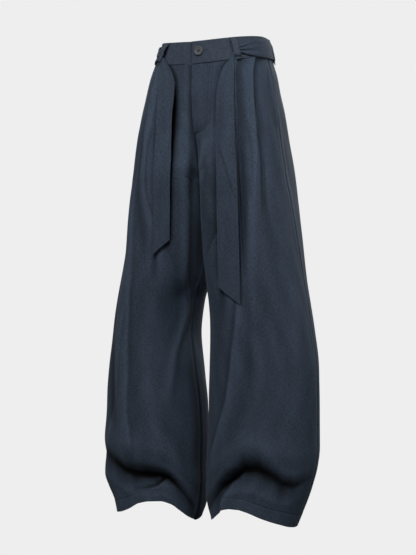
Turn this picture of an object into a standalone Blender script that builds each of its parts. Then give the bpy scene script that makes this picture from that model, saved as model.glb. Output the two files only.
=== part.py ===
"""Curved-leg pants with a tie belt, filled out as worn.

Metres, +Z up. The origin is the centre of the waist opening, level with the waistband's top edge.
The front faces -Y and the wearer's left is +X. Every cloth piece is a thin wall: an open surface
lofted through horizontal sections of the garment, then given its thickness.
"""

import math
from collections import namedtuple

import bmesh
import bpy
import numpy as np
from mathutils import Matrix

MM = 0.001

# Driving dimensions, metres
HEM_Z = -1.030
BAND_HEIGHT = 0.048
WAIST_DIP = 0.015
WAIST_DIP_END = -0.260
PANEL_WALL = 0.0012
BAND_WALL = 0.0024
SASH_WALL = 0.0015
LOOP_WALL = 0.0015
SEAM_GAP = 0.0003
PLEAT_REACH = 0.0075
PLEAT_LIFT = 0.0042
HEM_LIFT_START = -0.880
FLY_LAP = 0.002
FLY_WIDTH = 0.046
FLY_TIP = 0.008
FLY_END_Z = -0.204
FLY_BEND_Z = -0.172
FLY_STAND = 0.0013
FLY_BRIDGE = 0.008
FLY_TOP_Z = -0.0486
FLY_BEND_ROWS = 5
FLY_COLUMNS = (0.0, 0.16, 0.32, 0.50, 0.75, 1.0)
BUTTON_RADIUS = 0.010
BUTTON_HEIGHT = 0.0030
BUTTON_STAND = 0.0006
BUTTON_HOLE_RADIUS = 0.0011
BUTTON_HOLE_SPREAD = 0.0021
BUTTON_AT = 0.0138
BUTTON_Z = -0.021
BUTTON_SIDES = 28
BUTTON_HOLE_SIDES = 10
LOOP_WIDTH = 0.012
LOOP_TOP_Z = -0.0005
BAND_UNDERLAP = 0.030
BAND_OVERLAP = 0.003
BAND_STEP = (-0.024, -0.007)
BAND_ROWS = (0.0, 0.33, 0.67, 1.0)
BAND_COLUMNS_LEFT = 26
BAND_COLUMNS_RIGHT = 34

# Sections of the garment, millimetres and degrees. out_ and in_ are a leg's outer and inner reach
# from the centre plane. fork is how far the two legs have parted: 0 one body, 1 two legs.
# front and back are the depths about a centre moved forward by shift; turn points the toes out.
Section = namedtuple("Section", "z out_left out_right in_left in_right fork front back shift turn power")
SECTIONS = (
    Section(0, 113.5, 113.5, 0, 0, 0.00, 100, 98, 0, 0, 2.20),
    Section(-48, 126.5, 127.5, 0, 0, 0.04, 108, 104, 4, 0, 2.20),
    Section(-80, 136.5, 136.5, 0, 0, 0.12, 112, 112, 7, 0, 2.20),
    Section(-120, 144, 143, 0, 0, 0.25, 116, 122, 10, 0, 2.20),
    Section(-160, 152, 151, 0, 0, 0.38, 117, 127, 11, 0, 2.20),
    Section(-200, 157.5, 156, 0, 0, 0.55, 118, 130, 12, 0, 2.20),
    Section(-240, 164, 160.5, 0, 0, 0.75, 118, 130, 13, 0, 2.20),
    Section(-275, 170, 165, 0, 0, 0.90, 117, 128, 13, 0, 2.20),
    Section(-305, 175, 169, 0.3, 0.3, 1.00, 116, 126, 14, 0, 2.20),
    Section(-340, 182, 175, 1.2, 1.2, 1.00, 115, 121, 14, 1, 2.20),
    Section(-420, 197, 186, 4, 6, 1.00, 113, 112, 15, 2, 2.20),
    Section(-500, 210, 201, 9, 17, 1.00, 110, 106, 17, 4, 2.18),
    Section(-560, 221, 211, 11, 34, 1.00, 107, 102, 19, 6, 2.16),
    Section(-620, 231, 220, 12, 40, 1.00, 105, 100, 20, 7, 2.15),
    Section(-700, 241, 234, 12, 28, 1.00, 103, 98, 22, 8, 2.15),
    Section(-780, 243.5, 243.5, 12, 15, 1.00, 102, 98, 24, 8, 2.15),
    Section(-860, 244.5, 247, 10, 10, 1.00, 101, 98, 27, 8, 2.15),
    Section(-900, 241.5, 248.5, 10, 10, 1.00, 98, 96, 29, 8, 2.15),
    Section(-940, 232, 248, 9, 8, 1.00, 93, 93, 31, 8, 2.15),
    Section(-970, 223, 238, 8, 9, 1.00, 88, 90, 33, 8, 2.15),
    Section(-1000, 212.5, 224, 11, 12, 1.00, 83, 86, 35, 8, 2.15),
    Section(-1030, 202, 214, 20, 20, 1.00, 79, 82, 38, 8, 2.15),
)

# Heights of the panels' rows, millimetres
ROWS = (-48.3, -66, -92, -122, -152, -182, -210, -238, -262, -280, -292, -300, -304.5, -308, -332,
        -368, -415, -470, -530, -596, -664, -732, -796, -840, -870, -892, -910, -928, -946, -966, -988,
        -1008, -1030)

# Where the front departs from those ovals, by height in millimetres: sink flattens the centre front
# between the pleats, square fills out the inner front of each leg where the two press together
FrontShape = namedtuple("FrontShape", "z sink square")
FRONT_SHAPES = (
    FrontShape(0, 0, 0.0), FrontShape(-48, 11, 0.0), FrontShape(-80, 17, 0.0), FrontShape(-110, 20.5, 0.0),
    FrontShape(-150, 22.5, 0.0), FrontShape(-200, 22, 0.0), FrontShape(-220, 19.5, 0.0),
    FrontShape(-240, 15.5, 0.05), FrontShape(-260, 9, 0.18), FrontShape(-280, 2.5, 0.45),
    FrontShape(-305, 0, 0.65), FrontShape(-340, 0, 0.74), FrontShape(-450, 0, 0.76),
    FrontShape(-540, 0, 0.30), FrontShape(-600, 0, 0.0), FrontShape(-1030, 0, 0.0),
)
SINK_REACH = 0.080

# One knife pleat from the centre-front side. along is in pleat reaches and level in pleat lifts;
# open_place (in spreads) and open_level are the soft ridge and groove that it opens into lower down.
PleatColumn = namedtuple("PleatColumn", "along level open_place open_level")
PLEAT_COLUMNS = (
    PleatColumn(-2.00, 0.00, -1.00, 0.00), PleatColumn(-1.15, 0.36, -0.80, 0.26),
    PleatColumn(0.90, 0.42, -0.58, 0.42), PleatColumn(1.10, 0.05, -0.38, 0.32),
    PleatColumn(0.95, -0.28, -0.18, 0.10), PleatColumn(0.40, -0.33, 0.04, -0.14),
    PleatColumn(-0.85, -0.33, 0.30, -0.38), PleatColumn(-1.02, -0.45, 0.46, -0.52),
    PleatColumn(-0.85, -0.58, 0.64, -0.58), PleatColumn(0.60, -0.58, 0.82, -0.52),
    PleatColumn(1.60, -0.35, 1.00, -0.35),
)

# How each pleat runs down a front. edge is the distance of its fold from the centre plane,
# opened is 0 where it is folded flat and 1 where it is a groove, spread is the groove's half-width.
PleatStation = namedtuple("PleatStation", "z edge opened lift spread")
PLEATS = (
    (
        PleatStation(-48, 96, 0.00, 1.0, 15), PleatStation(-73, 100, 0.00, 1.0, 15),
        PleatStation(-124, 108.5, 0.03, 1.1, 15), PleatStation(-182, 114.5, 0.30, 1.6, 17),
        PleatStation(-210, 117, 0.56, 2.1, 19), PleatStation(-240, 118.5, 0.80, 2.4, 20),
        PleatStation(-290, 120, 1.00, 2.5, 20),
        PleatStation(-410, 124, 1.00, 2.1, 20), PleatStation(-580, 124, 1.00, 0.0, 20),
    ),
    (
        PleatStation(-48, 118, 0.00, 1.0, 12), PleatStation(-73, 121, 0.00, 1.0, 12),
        PleatStation(-124, 128.5, 0.03, 1.1, 12), PleatStation(-182, 137.5, 0.30, 1.5, 15),
        PleatStation(-210, 142, 0.56, 1.9, 16), PleatStation(-240, 147, 0.80, 1.9, 17),
        PleatStation(-290, 152, 1.00, 1.8, 18),
        PleatStation(-410, 158, 1.00, 0.7, 18), PleatStation(-580, 160, 1.00, 0.0, 18),
    ),
)
PLEAT_OPEN_Z = (-0.300, -0.600)
COLUMNS_BEFORE_PLEATS = 6
COLUMNS_BETWEEN_PLEATS = 1
COLUMNS_AFTER_PLEATS = 4
BACK_COLUMNS = 12

# Long folds down a leg. around is the place round the leg: 0 inseam, 1 side seam by the front,
# 2 inseam again by the back. push is outward, millimetres.
LongFold = namedtuple("LongFold", "leg around_top around_low z_top z_low width push")
LONG_FOLDS = (
    LongFold("left", 0.50, 0.26, -430, -900, 0.075, 4.5),
    LongFold("left", 0.64, 0.40, -400, -880, 0.070, -4.0),
    LongFold("left", 0.86, 0.76, -380, -900, 0.090, 3.0),
    LongFold("left", 1.30, 1.36, -330, -930, 0.10, 4.5),
    LongFold("left", 1.62, 1.55, -340, -930, 0.10, -4.0),
    LongFold("right", 0.30, 0.30, -330, -880, 0.11, 3.0),
    LongFold("right", 0.66, 0.50, -330, -900, 0.070, 4.0),
    LongFold("right", 0.74, 0.62, -360, -900, 0.060, -4.0),
    LongFold("right", 1.34, 1.30, -330, -930, 0.10, 4.5),
    LongFold("right", 1.66, 1.58, -340, -930, 0.10, -4.0),
)
FOLD_FADE_IN = 0.30
FOLD_FADE_OUT = 0.75
CURL_ABOVE = 1.8
CURL_BELOW = 1.4

# Folds that run across a leg above its hem: places round the leg with the height there, how far the
# fold reaches above and below that line, and its push, all but the first in millimetres
CrossStation = namedtuple("CrossStation", "around z above below push")
CrossFold = namedtuple("CrossFold", "rounding stations")
CROSS_FOLDS = {
    "left": (
        CrossFold(6.0, (
            CrossStation(0.05, -1014, 24, 26, 0.0), CrossStation(0.145, -1000, 32, 34, -4.5),
            CrossStation(0.25, -982, 42, 48, -9.0), CrossStation(0.335, -952, 46, 60, -12.5),
            CrossStation(0.42, -920, 50, 70, -14.5), CrossStation(0.48, -904, 54, 74, -15.0),
            CrossStation(0.55, -900, 54, 72, -14.0), CrossStation(0.61, -908, 46, 66, -12.5),
            CrossStation(0.675, -921, 38, 58, -10.0), CrossStation(0.745, -936, 32, 50, -9.0),
            CrossStation(0.81, -938, 30, 44, -6.5), CrossStation(0.88, -928, 30, 40, -3.0),
            CrossStation(1.00, -915, 30, 40, 0.0),
        )),
        CrossFold(14.0, (
            CrossStation(0.14, -925, 50, 36, 0.0), CrossStation(0.30, -888, 55, 40, 3.5),
            CrossStation(0.50, -842, 60, 44, 5.0), CrossStation(0.68, -862, 55, 40, 4.0),
            CrossStation(0.90, -872, 50, 36, 0.0),
        )),
        CrossFold(6.0, (
            CrossStation(1.06, -915, 54, 44, 0.0), CrossStation(1.30, -930, 56, 50, -6.5),
            CrossStation(1.52, -916, 60, 56, -9.0), CrossStation(1.76, -938, 56, 50, -5.5),
            CrossStation(1.94, -950, 54, 44, 0.0),
        )),
    ),
    "right": (
        CrossFold(6.0, (
            CrossStation(0.01, -1008, 24, 26, 0.0), CrossStation(0.10, -990, 32, 40, -5.5),
            CrossStation(0.16, -976, 38, 48, -9.0), CrossStation(0.205, -962, 42, 56, -11.5),
            CrossStation(0.26, -950, 46, 64, -14.0), CrossStation(0.32, -945, 54, 70, -15.0),
            CrossStation(0.40, -944, 60, 74, -15.5), CrossStation(0.48, -938, 60, 74, -15.0),
            CrossStation(0.54, -927, 54, 70, -13.0), CrossStation(0.61, -911, 46, 60, -10.0),
            CrossStation(0.71, -896, 38, 50, -6.5), CrossStation(0.84, -888, 32, 44, -3.0),
            CrossStation(0.97, -885, 30, 40, 0.0),
        )),
        CrossFold(14.0, (
            CrossStation(0.08, -925, 50, 36, 0.0), CrossStation(0.30, -868, 55, 40, 4.0),
            CrossStation(0.50, -858, 60, 44, 5.0), CrossStation(0.70, -846, 55, 40, 3.5),
            CrossStation(0.94, -856, 50, 36, 0.0),
        )),
        CrossFold(6.0, (
            CrossStation(1.06, -935, 54, 44, 0.0), CrossStation(1.28, -922, 56, 50, -7.5),
            CrossStation(1.50, -936, 60, 56, -8.0), CrossStation(1.74, -920, 56, 50, -5.5),
            CrossStation(1.94, -930, 54, 44, 0.0),
        )),
    ),
}

# How far the hem arches up round each leg, millimetres
HemStation = namedtuple("HemStation", "around lift")
HEM_LIFTS = {
    "left": (
        HemStation(0.00, 16), HemStation(0.10, 16), HemStation(0.16, 19), HemStation(0.25, 33),
        HemStation(0.31, 43), HemStation(0.38, 48), HemStation(0.46, 48), HemStation(0.53, 44),
        HemStation(0.65, 31), HemStation(0.78, 19), HemStation(0.90, 10), HemStation(1.00, 7),
        HemStation(1.20, 14), HemStation(1.50, 22), HemStation(1.75, 26), HemStation(1.90, 25),
        HemStation(2.00, 16),
    ),
    "right": (
        HemStation(0.00, 7), HemStation(0.08, 17), HemStation(0.15, 31), HemStation(0.22, 45),
        HemStation(0.30, 51), HemStation(0.38, 50), HemStation(0.48, 44), HemStation(0.57, 31),
        HemStation(0.68, 20), HemStation(0.85, 13), HemStation(1.00, 10), HemStation(1.10, 22),
        HemStation(1.22, 28), HemStation(1.35, 27), HemStation(1.50, 20), HemStation(1.80, 14),
        HemStation(2.00, 7),
    ),
}

# Belt loops, metres along the waist from the centre front (wearer's left is plus). lean is how
# far the lower end is pulled aside; bow is the loop's stand-off from the waist line, millimetres.
BeltLoop = namedtuple("BeltLoop", "name at lean foot_z bow")
BELT_LOOPS = (
    BeltLoop("belt_loop_front_left", 0.0862, 0.004, -0.0478, 7.4),
    BeltLoop("belt_loop_front_right", -0.0705, -0.010, -0.0478, 7.4),
    BeltLoop("belt_loop_side_left", 0.205, 0.0, -0.0550, 4.8),
    BeltLoop("belt_loop_side_right", -0.205, 0.0, -0.0550, 4.8),
    BeltLoop("belt_loop_back", None, 0.0, -0.0550, 4.8),
)
LOOP_SEAT = 1.55
# The loop's profile from the top: part of its height, and part of its bow
LOOP_PROFILE = ((0.00, 0.00), (0.045, 0.02), (0.09, 0.86), (0.22, 0.97), (0.50, 1.00), (0.70, 0.97),
                (0.84, 0.86), (0.93, 0.02), (1.00, 0.00))

# The tie belt round the hips: part of the way from the left front loop round the back to the
# right one, its upper and lower edge and the depth of its gathers, mm
SashStation = namedtuple("SashStation", "part top low gather")
SASH_STATIONS = (
    SashStation(0.00, -15, -34, 2.0), SashStation(0.03, -14, -36, 2.0), SashStation(0.10, -9, -42, 1.6),
    SashStation(0.22, -6, -42, 0.6), SashStation(0.50, -6, -42, 0.4), SashStation(0.78, -6, -42, 0.6),
    SashStation(0.90, -8, -43, 1.8), SashStation(0.97, -14, -37, 2.0), SashStation(1.00, -15, -34, 2.0),
)
SASH_SPAN_COLUMNS = 40
SASH_WIDTH_ROWS = 7
SASH_PAST_LOOP = 0.005
SASH_CLEAR = 0.0006
SASH_GATHERS = 2.5

# Hanging tails: middle is the distance from the centre plane, then the width, the stand-off of
# the cloth's inner side from the panel and the depth of its own ripple, mm. slant is how much
# lower the cut end lies on its outer side than on its inner side, metres.
TailStation = namedtuple("TailStation", "z middle width stand ripple")
Tail = namedtuple("Tail", "name leg slant stations")
TAILS = (
    Tail("sash_tail_left", "left", 0.036, (
        TailStation(-36, 83.5, 5, 1.6, 1.2), TailStation(-48, 82, 13, 2.2, 1.6),
        TailStation(-62, 82, 20, 4.2, 1.8),
        TailStation(-90, 81, 28, 6.4, 1.2), TailStation(-125, 82, 34, 6.6, 0.8),
        TailStation(-180, 86, 38, 7.0, 0.6), TailStation(-229, 90, 40, 7.4, 0.6),
        TailStation(-290, 95, 42, 7.4, 0.8), TailStation(-380, 98, 46, 7.4, 0.8),
        TailStation(-470, 100.5, 48, 7.0, 0.6), TailStation(-545, 101.5, 48, 6.6, 0.4),
    )),
    Tail("sash_tail_right", "right", 0.030, (
        TailStation(-36, 73, 8, 1.6, 1.2), TailStation(-48, 68, 20, 2.2, 1.6),
        TailStation(-62, 63.5, 30, 4.2, 1.8),
        TailStation(-90, 57.5, 38, 6.4, 1.2), TailStation(-110, 57, 38, 6.6, 1.0),
        TailStation(-165, 59.5, 34, 7.0, 0.6), TailStation(-221, 60, 34, 7.4, 0.6),
        TailStation(-284, 58, 35, 7.4, 0.8), TailStation(-367, 58.5, 34, 7.4, 0.8),
        TailStation(-445, 61.5, 35, 7.0, 0.4),
    )),
)
TAIL_ROWS = 18
TAIL_ROW_SPREAD = 1.3
TAIL_COLUMNS = 7
TAIL_RIPPLES = 1.5
TAIL_SLANT_FROM = 0.55

COLLECTION_NAME = "curved_leg_pants"
CLOTH_COLOUR = (0.029, 0.040, 0.058)
BAND_COLOUR = (0.034, 0.045, 0.064)
BUTTON_COLOUR = (0.075, 0.080, 0.090)


def smooth_through(xs, ys, x):
    """Monotone cubic through (xs, ys), xs rising, so that no value overshoots its neighbours."""
    xs = np.asarray(xs, dtype=float)
    ys = np.asarray(ys, dtype=float)
    step = np.diff(xs)
    slope = np.diff(ys) / step
    tangent = np.zeros(len(xs))
    for i in range(1, len(xs) - 1):
        if slope[i - 1] * slope[i] > 0:
            before = 2 * step[i] + step[i - 1]
            after = step[i] + 2 * step[i - 1]
            tangent[i] = (before + after) / (before / slope[i - 1] + after / slope[i])
    tangent[0] = slope[0]
    tangent[-1] = slope[-1]
    x = np.clip(x, xs[0], xs[-1])
    i = np.clip(np.searchsorted(xs, x) - 1, 0, len(xs) - 2)
    t = (x - xs[i]) / step[i]
    return ((2 * t ** 3 - 3 * t ** 2 + 1) * ys[i] + (t ** 3 - 2 * t ** 2 + t) * step[i] * tangent[i]
            + (3 * t ** 2 - 2 * t ** 3) * ys[i + 1] + (t ** 3 - t ** 2) * step[i] * tangent[i + 1])


def by_height(table, field, z):
    """A column of a table whose rows run down from the waist, read at height z in metres."""
    depth = [-row.z for row in table]
    return float(smooth_through(depth, [getattr(row, field) for row in table], -z / MM))


def ease(value, start, end):
    """0 at start, 1 at end, smooth between."""
    t = np.clip((value - start) / (end - start), 0.0, 1.0)
    return t * t * (3 - 2 * t)


class Line:
    """A horizontal line of the garment, read by length: its points and outward directions."""

    def __init__(self, points):
        self.points = points
        gaps = np.linalg.norm(np.diff(points, axis=0), axis=1)
        self.lengths = np.concatenate(([0.0], np.cumsum(gaps)))
        self.total = self.lengths[-1]
        tangent = np.gradient(points, axis=0)
        tangent /= np.linalg.norm(tangent, axis=1)[:, None]
        self.out = np.stack([tangent[:, 1], -tangent[:, 0]], axis=1)

    def between_seams(self, share):
        """A share of the line as a length that keeps half a seam gap clear at each end."""
        return SEAM_GAP / 2 + share * (self.total - SEAM_GAP)

    def length_at(self, reach):
        """The length at which a front line stands a distance from the centre plane."""
        rising = int(np.argmax(self.points[:, 0])) + 1
        return float(np.interp(reach, self.points[:rising, 0], self.lengths[:rising]))

    def bridged(self, length, push, reach):
        """The point at a length, pushed square to the chord that reaches to either side of it."""
        before, after = (np.array(self.at(length + end, 0.0)) for end in (-reach, reach))
        along = (after - before) / np.linalg.norm(after - before)
        place = self.at(length, 0.0)
        return place[0] + push * along[1], place[1] - push * along[0]

    def at(self, length, push):
        """The point at a length along the line, pushed outward."""
        place = [np.interp(length, self.lengths, self.points[:, k]) for k in (0, 1)]
        out = np.array([np.interp(length, self.lengths, self.out[:, k]) for k in (0, 1)])
        out /= np.linalg.norm(out)
        return place[0] + push * out[0], place[1] + push * out[1]


def leg_ring(leg, z):
    """One leg's closed section from the inseam round the front, as if on the wearer's left."""
    def value(field):
        return by_height(SECTIONS, field, z)
    outer = value("out_" + leg) * MM
    fork = value("fork")
    inner = value("in_" + leg) * MM - outer * (1 - fork) / (1 + fork)
    centre = (outer + inner) / 2
    half_width = (outer - inner) / 2
    power = value("power")
    turn = math.radians(value("turn"))
    angle = np.linspace(0.0, 2 * math.pi, 721)
    cosine = np.cos(angle)
    sine = np.sin(angle)
    depth = np.where(sine > 0, value("front"), value("back")) * MM
    square = by_height(FRONT_SHAPES, "square", z)
    root = 2 / np.where((sine > 0) & (cosine > 0), power + square, power)
    across = -half_width * np.sign(cosine) * np.abs(cosine) ** root
    along = -depth * np.sign(sine) * np.abs(sine) ** root
    x = centre + across * math.cos(turn) - along * math.sin(turn)
    y = -value("shift") * MM + across * math.sin(turn) + along * math.cos(turn)
    sink = by_height(FRONT_SHAPES, "sink", z) * MM
    return x, y + np.where(sine > 0, sink * np.exp(-(x / SINK_REACH) ** 4), 0.0)


def trimmed(x, y):
    """The stretch of a ring that is clear of the centre plane by half a seam gap."""
    clear = SEAM_GAP / 2
    keep = x >= clear
    first = int(np.argmax(keep))
    last = len(x) - 1 - int(np.argmax(keep[::-1]))
    xs = list(x[first:last + 1])
    ys = list(y[first:last + 1])
    if first > 0:
        t = (clear - x[first - 1]) / (x[first] - x[first - 1])
        xs.insert(0, clear)
        ys.insert(0, y[first - 1] + t * (y[first] - y[first - 1]))
    if last < len(x) - 1:
        t = (clear - x[last]) / (x[last + 1] - x[last])
        xs.append(clear)
        ys.append(y[last] + t * (y[last + 1] - y[last]))
    return Line(np.stack([xs, ys], axis=1))


def front_line(leg, z):
    x, y = leg_ring(leg, z)
    half = len(x) // 2
    return trimmed(x[:half + 1], y[:half + 1])


def back_line(leg, z):
    x, y = leg_ring(leg, z)
    half = len(x) // 2
    return trimmed(x[half:], y[half:])


def waist_line(z):
    """The whole waist at height z from centre back round the wearer's right, front and left."""
    x, y = leg_ring("left", z)
    keep = x >= 0.0
    left = np.stack([x[keep], y[keep]], axis=1)
    right = left[::-1] * (-1, 1)
    centre_front = np.array([[0.0, left[0, 1]]])
    return Line(np.concatenate([right, centre_front, left]))


def pleat_columns(line, z):
    """Lengths and pushes of a front panel's columns at height z, and which of them are pleated."""
    lengths = []
    pushes = []
    pleated = []
    last = 0.0
    last_push = 0.0
    for index, stations in enumerate(PLEATS):
        opened = by_height(stations, "opened", z)
        reach = PLEAT_REACH * (1 - opened)
        spread = by_height(stations, "spread", z) * MM * opened
        lift = by_height(stations, "lift", z) * PLEAT_LIFT
        middle = line.length_at(by_height(stations, "edge", z) * MM) - 1.1 * reach
        group = [middle + reach * c.along + spread * c.open_place for c in PLEAT_COLUMNS]
        first = 0 if index == 0 else 1
        count = COLUMNS_BEFORE_PLEATS if index == 0 else COLUMNS_BETWEEN_PLEATS
        for step in range(count):
            share = (step + first) / (count + first)
            lengths.append(last + (group[0] - last) * (share if index else share ** 1.6))
            pushes.append(last_push * (1 - share) ** 2)
            pleated.append(False)
        lengths.extend(group)
        pushes.extend(lift * (c.level * (1 - opened) + c.open_level * opened) for c in PLEAT_COLUMNS)
        pleated.extend([False] + [True] * (len(PLEAT_COLUMNS) - 2) + [False])
        last = group[-1]
        last_push = pushes[-1]
    for step in range(COLUMNS_AFTER_PLEATS):
        share = (step + 1) / COLUMNS_AFTER_PLEATS
        lengths.append(last + (line.total - last) * share)
        pushes.append(last_push * (1 - share) ** 2)
        pleated.append(False)
    even = np.linspace(0.0, line.total, len(lengths))
    loosened = ease(z, PLEAT_OPEN_Z[0], PLEAT_OPEN_Z[1])
    return np.array(lengths) * (1 - loosened) + even * loosened, pushes, pleated


def waist_dip(x, y, z):
    """How far the waist sinks toward the centre front, where the top edge dips."""
    facing = max(0.0, -y / math.hypot(x, y))
    return -WAIST_DIP * facing ** 1.4 * float(ease(z, WAIST_DIP_END, -0.040))


def settled(x, y, z):
    """A point of the upper part with the waist's dip."""
    return x, y, z + waist_dip(x, y, z)


def fold_share(gap, above, below, rounding):
    """1 on a cross fold's line. Above it the cloth curls in slowly, below it hangs nearly straight."""
    run = 1 - (math.hypot(gap, rounding) - rounding) / (above if gap > 0 else below)
    return max(run, 0.0) ** (CURL_ABOVE if gap > 0 else CURL_BELOW)


def fold_push(leg, around, z):
    """How far the large folds move the cloth out at a place round the leg."""
    depth = z / MM
    push = 0.0
    for fold in LONG_FOLDS:
        share = (depth - fold.z_top) / (fold.z_low - fold.z_top)
        if fold.leg != leg or share <= 0 or share >= 1:
            continue
        centre = fold.around_top + (fold.around_low - fold.around_top) * share
        window = ease(share, 0.0, FOLD_FADE_IN) * (1 - ease(share, FOLD_FADE_OUT, 1.0))
        push += fold.push * window * math.exp(-((around - centre) / fold.width) ** 2)
    for fold in CROSS_FOLDS[leg]:
        places = [station.around for station in fold.stations]
        if around <= places[0] or around >= places[-1]:
            continue
        line, above, below, out = (smooth_through(places, [getattr(s, field) for s in fold.stations], around)
                                   for field in ("z", "above", "below", "push"))
        push += out * fold_share(depth - line, above, below, fold.rounding)
    return float(push) * MM


def hem_lift(leg, around, z):
    """The hem arches up between its low corners, which lie by the inseam and the side seam."""
    stations = HEM_LIFTS[leg]
    lift = smooth_through([s.around for s in stations], [s.lift for s in stations], around)
    return float(lift * ease(z, HEM_LIFT_START, HEM_Z)) * MM


def panel_point(leg, x, y, z, around):
    x = max(x, SEAM_GAP / 2)
    return x, y, z + waist_dip(x, y, z) + hem_lift(leg, around, z)


def turned_in(points, k):
    """The point a wall's thickness inside point k of a folded row."""
    before = points[k] - points[k - 1]
    after = points[k + 1] - points[k]
    along = before / np.linalg.norm(before) + after / np.linalg.norm(after)
    along = along / np.linalg.norm(along)
    return points[k] - PANEL_WALL * np.array([along[1], -along[0]])


def front_walls(leg):
    """Outer and inner rows of a front panel, as if on the wearer's left."""
    outer = []
    inner = []
    for row_z in ROWS:
        z = row_z * MM
        line = front_line(leg, z)
        lengths, pushes, pleated = pleat_columns(line, z)
        shares = lengths / line.total
        arounds = np.clip(shares, 0, 1)
        out = []
        back = []
        for share, push, around in zip(shares, pushes, arounds):
            place = line.between_seams(share)
            push += fold_push(leg, around, z)
            out.append(np.array(line.at(place, push)))
            back.append(np.array(line.at(place, push - PANEL_WALL)))
        for k, folded in enumerate(pleated):
            if folded:
                back[k] = turned_in(out, k)
        outer.append([panel_point(leg, p[0], p[1], z, around) for p, around in zip(out, arounds)])
        inner.append([panel_point(leg, p[0], p[1], z, around) for p, around in zip(back, arounds)])
    return outer, inner


def back_walls(leg):
    """Outer and inner rows of a back panel from the side seam to the centre back or inseam."""
    walls = []
    for sink in (0.0, PANEL_WALL):
        rows = []
        for row_z in ROWS:
            z = row_z * MM
            line = back_line(leg, z)
            row = []
            for share in np.linspace(0.0, 1.0, BACK_COLUMNS):
                x, y = line.at(line.between_seams(share), fold_push(leg, 1 + share, z) - sink)
                row.append(panel_point(leg, x, y, z, 1 + share))
            rows.append(row)
        walls.append(rows)
    return walls


def mirrored(rows):
    """The same rows for the wearer's right, running the other way so that faces point out."""
    return [[(-x, y, z) for x, y, z in reversed(row)] for row in rows]


def material(name, colour, roughness):
    made = bpy.data.materials.new(name)
    made.use_nodes = True
    shader = made.node_tree.nodes["Principled BSDF"]
    shader.inputs["Base Color"].default_value = (*colour, 1.0)
    shader.inputs["Roughness"].default_value = roughness
    shader.inputs["Metallic"].default_value = 0.0
    return made


def cloth_wall(name, outer, inner, colour, collection, roughness=0.9):
    """A wall of cloth lofted between its outer and its inner rows of points."""
    height = len(outer)
    width = len(outer[0])
    points = [point for rows in (outer, inner) for row in rows for point in row]
    back = height * width
    faces = []
    for r in range(height - 1):
        for c in range(width - 1):
            a = r * width + c
            faces.append((a, a + width, a + width + 1, a + 1))
            faces.append((back + a, back + a + 1, back + a + width + 1, back + a + width))
    top = list(range(width))
    low = [(height - 1) * width + c for c in range(width)]
    start = [r * width for r in range(height)]
    end = [r * width + width - 1 for r in range(height)]
    for edge in (top[::-1], low, start, end[::-1]):
        for a, b in zip(edge[:-1], edge[1:]):
            faces.append((a, a + back, b + back, b))
    mesh = bpy.data.meshes.new(name)
    mesh.from_pydata(points, [], faces)
    mesh.shade_smooth()
    mesh.set_sharp_from_angle(angle=math.radians(50))
    piece = bpy.data.objects.new(name, mesh)
    collection.objects.link(piece)
    piece.data.materials.append(material(name + "_cloth", colour, roughness))
    return piece


def waist_point(line, along, push):
    """A point of the waist, along from the centre front (wearer's left is plus)."""
    return line.at(line.total / 2 + along * line.total / WAIST_TOTAL, push)


def both_sides(row_maker, outer_push, wall):
    """Outer and inner rows of a piece whose rows are made for a push from the waist line."""
    return row_maker(outer_push), row_maker(outer_push - wall)


def build_waistband(collection):
    half = WAIST_TOTAL / 2

    def under(along):
        return (BAND_WALL + SEAM_GAP) * float(ease(along, *BAND_STEP))

    def band(start, end, columns, sink):
        def rows(push):
            made = []
            for share in BAND_ROWS:
                z = -BAND_HEIGHT * share
                line = waist_line(z)
                row = []
                for along in np.linspace(start, end, columns):
                    x, y = waist_point(line, along, push - sink(along))
                    row.append(settled(x, y, z))
                made.append(row)
            return made
        return rows
    left = band(-BAND_OVERLAP, half - SEAM_GAP / 2, BAND_COLUMNS_LEFT, lambda along: 0.0)
    right = band(-half + SEAM_GAP / 2, BAND_UNDERLAP, BAND_COLUMNS_RIGHT, under)
    cloth_wall("waistband_left", *both_sides(left, BAND_WALL / 2, BAND_WALL), BAND_COLOUR, collection)
    cloth_wall("waistband_right", *both_sides(right, BAND_WALL / 2, BAND_WALL), BAND_COLOUR, collection)


def build_fly(collection):
    """The placket lies on the left front and laps past the centre front; its end is a J."""
    between = [row * MM for row in ROWS if FLY_BEND_Z < row * MM < FLY_TOP_Z - SEAM_GAP]
    heights = [FLY_TOP_Z] + between + list(np.linspace(FLY_BEND_Z, FLY_END_Z, FLY_BEND_ROWS))

    def rows(push):
        made = []
        for z in heights:
            bend = float(np.clip((z - FLY_BEND_Z) / (FLY_END_Z - FLY_BEND_Z), 0, 1))
            edge = FLY_TIP + (FLY_WIDTH - FLY_TIP) * math.sqrt(max(0.0, 1 - bend ** 2))
            line = waist_line(z)
            row = []
            for share in FLY_COLUMNS:
                along = -FLY_LAP + (edge + FLY_LAP) * share
                x, y = line.bridged(line.total / 2 + along, push, FLY_BRIDGE)
                row.append(settled(x, y, z))
            made.append(row)
        return made
    cloth_wall("fly", *both_sides(rows, FLY_STAND + PANEL_WALL, PANEL_WALL), CLOTH_COLOUR, collection)


def build_belt_loops(collection):
    for loop in BELT_LOOPS:
        def rows(push):
            made = []
            for share, bowed in LOOP_PROFILE:
                stand = (LOOP_SEAT + (loop.bow - LOOP_SEAT) * bowed) * MM + push
                z = LOOP_TOP_Z + (loop.foot_z - LOOP_TOP_Z) * share
                line = waist_line(z)
                row = []
                for side in (-0.5, 0.0, 0.5):
                    if loop.at is None:
                        x, y = waist_point(line, WAIST_TOTAL / 2, stand)
                        x = -side * LOOP_WIDTH
                    else:
                        along = loop.at + loop.lean * share + side * LOOP_WIDTH
                        x, y = waist_point(line, along, stand)
                    row.append(settled(x, y, z))
                made.append(row)
            return made
        cloth_wall(loop.name, *both_sides(rows, LOOP_WALL, LOOP_WALL), BAND_COLOUR, collection)


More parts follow.
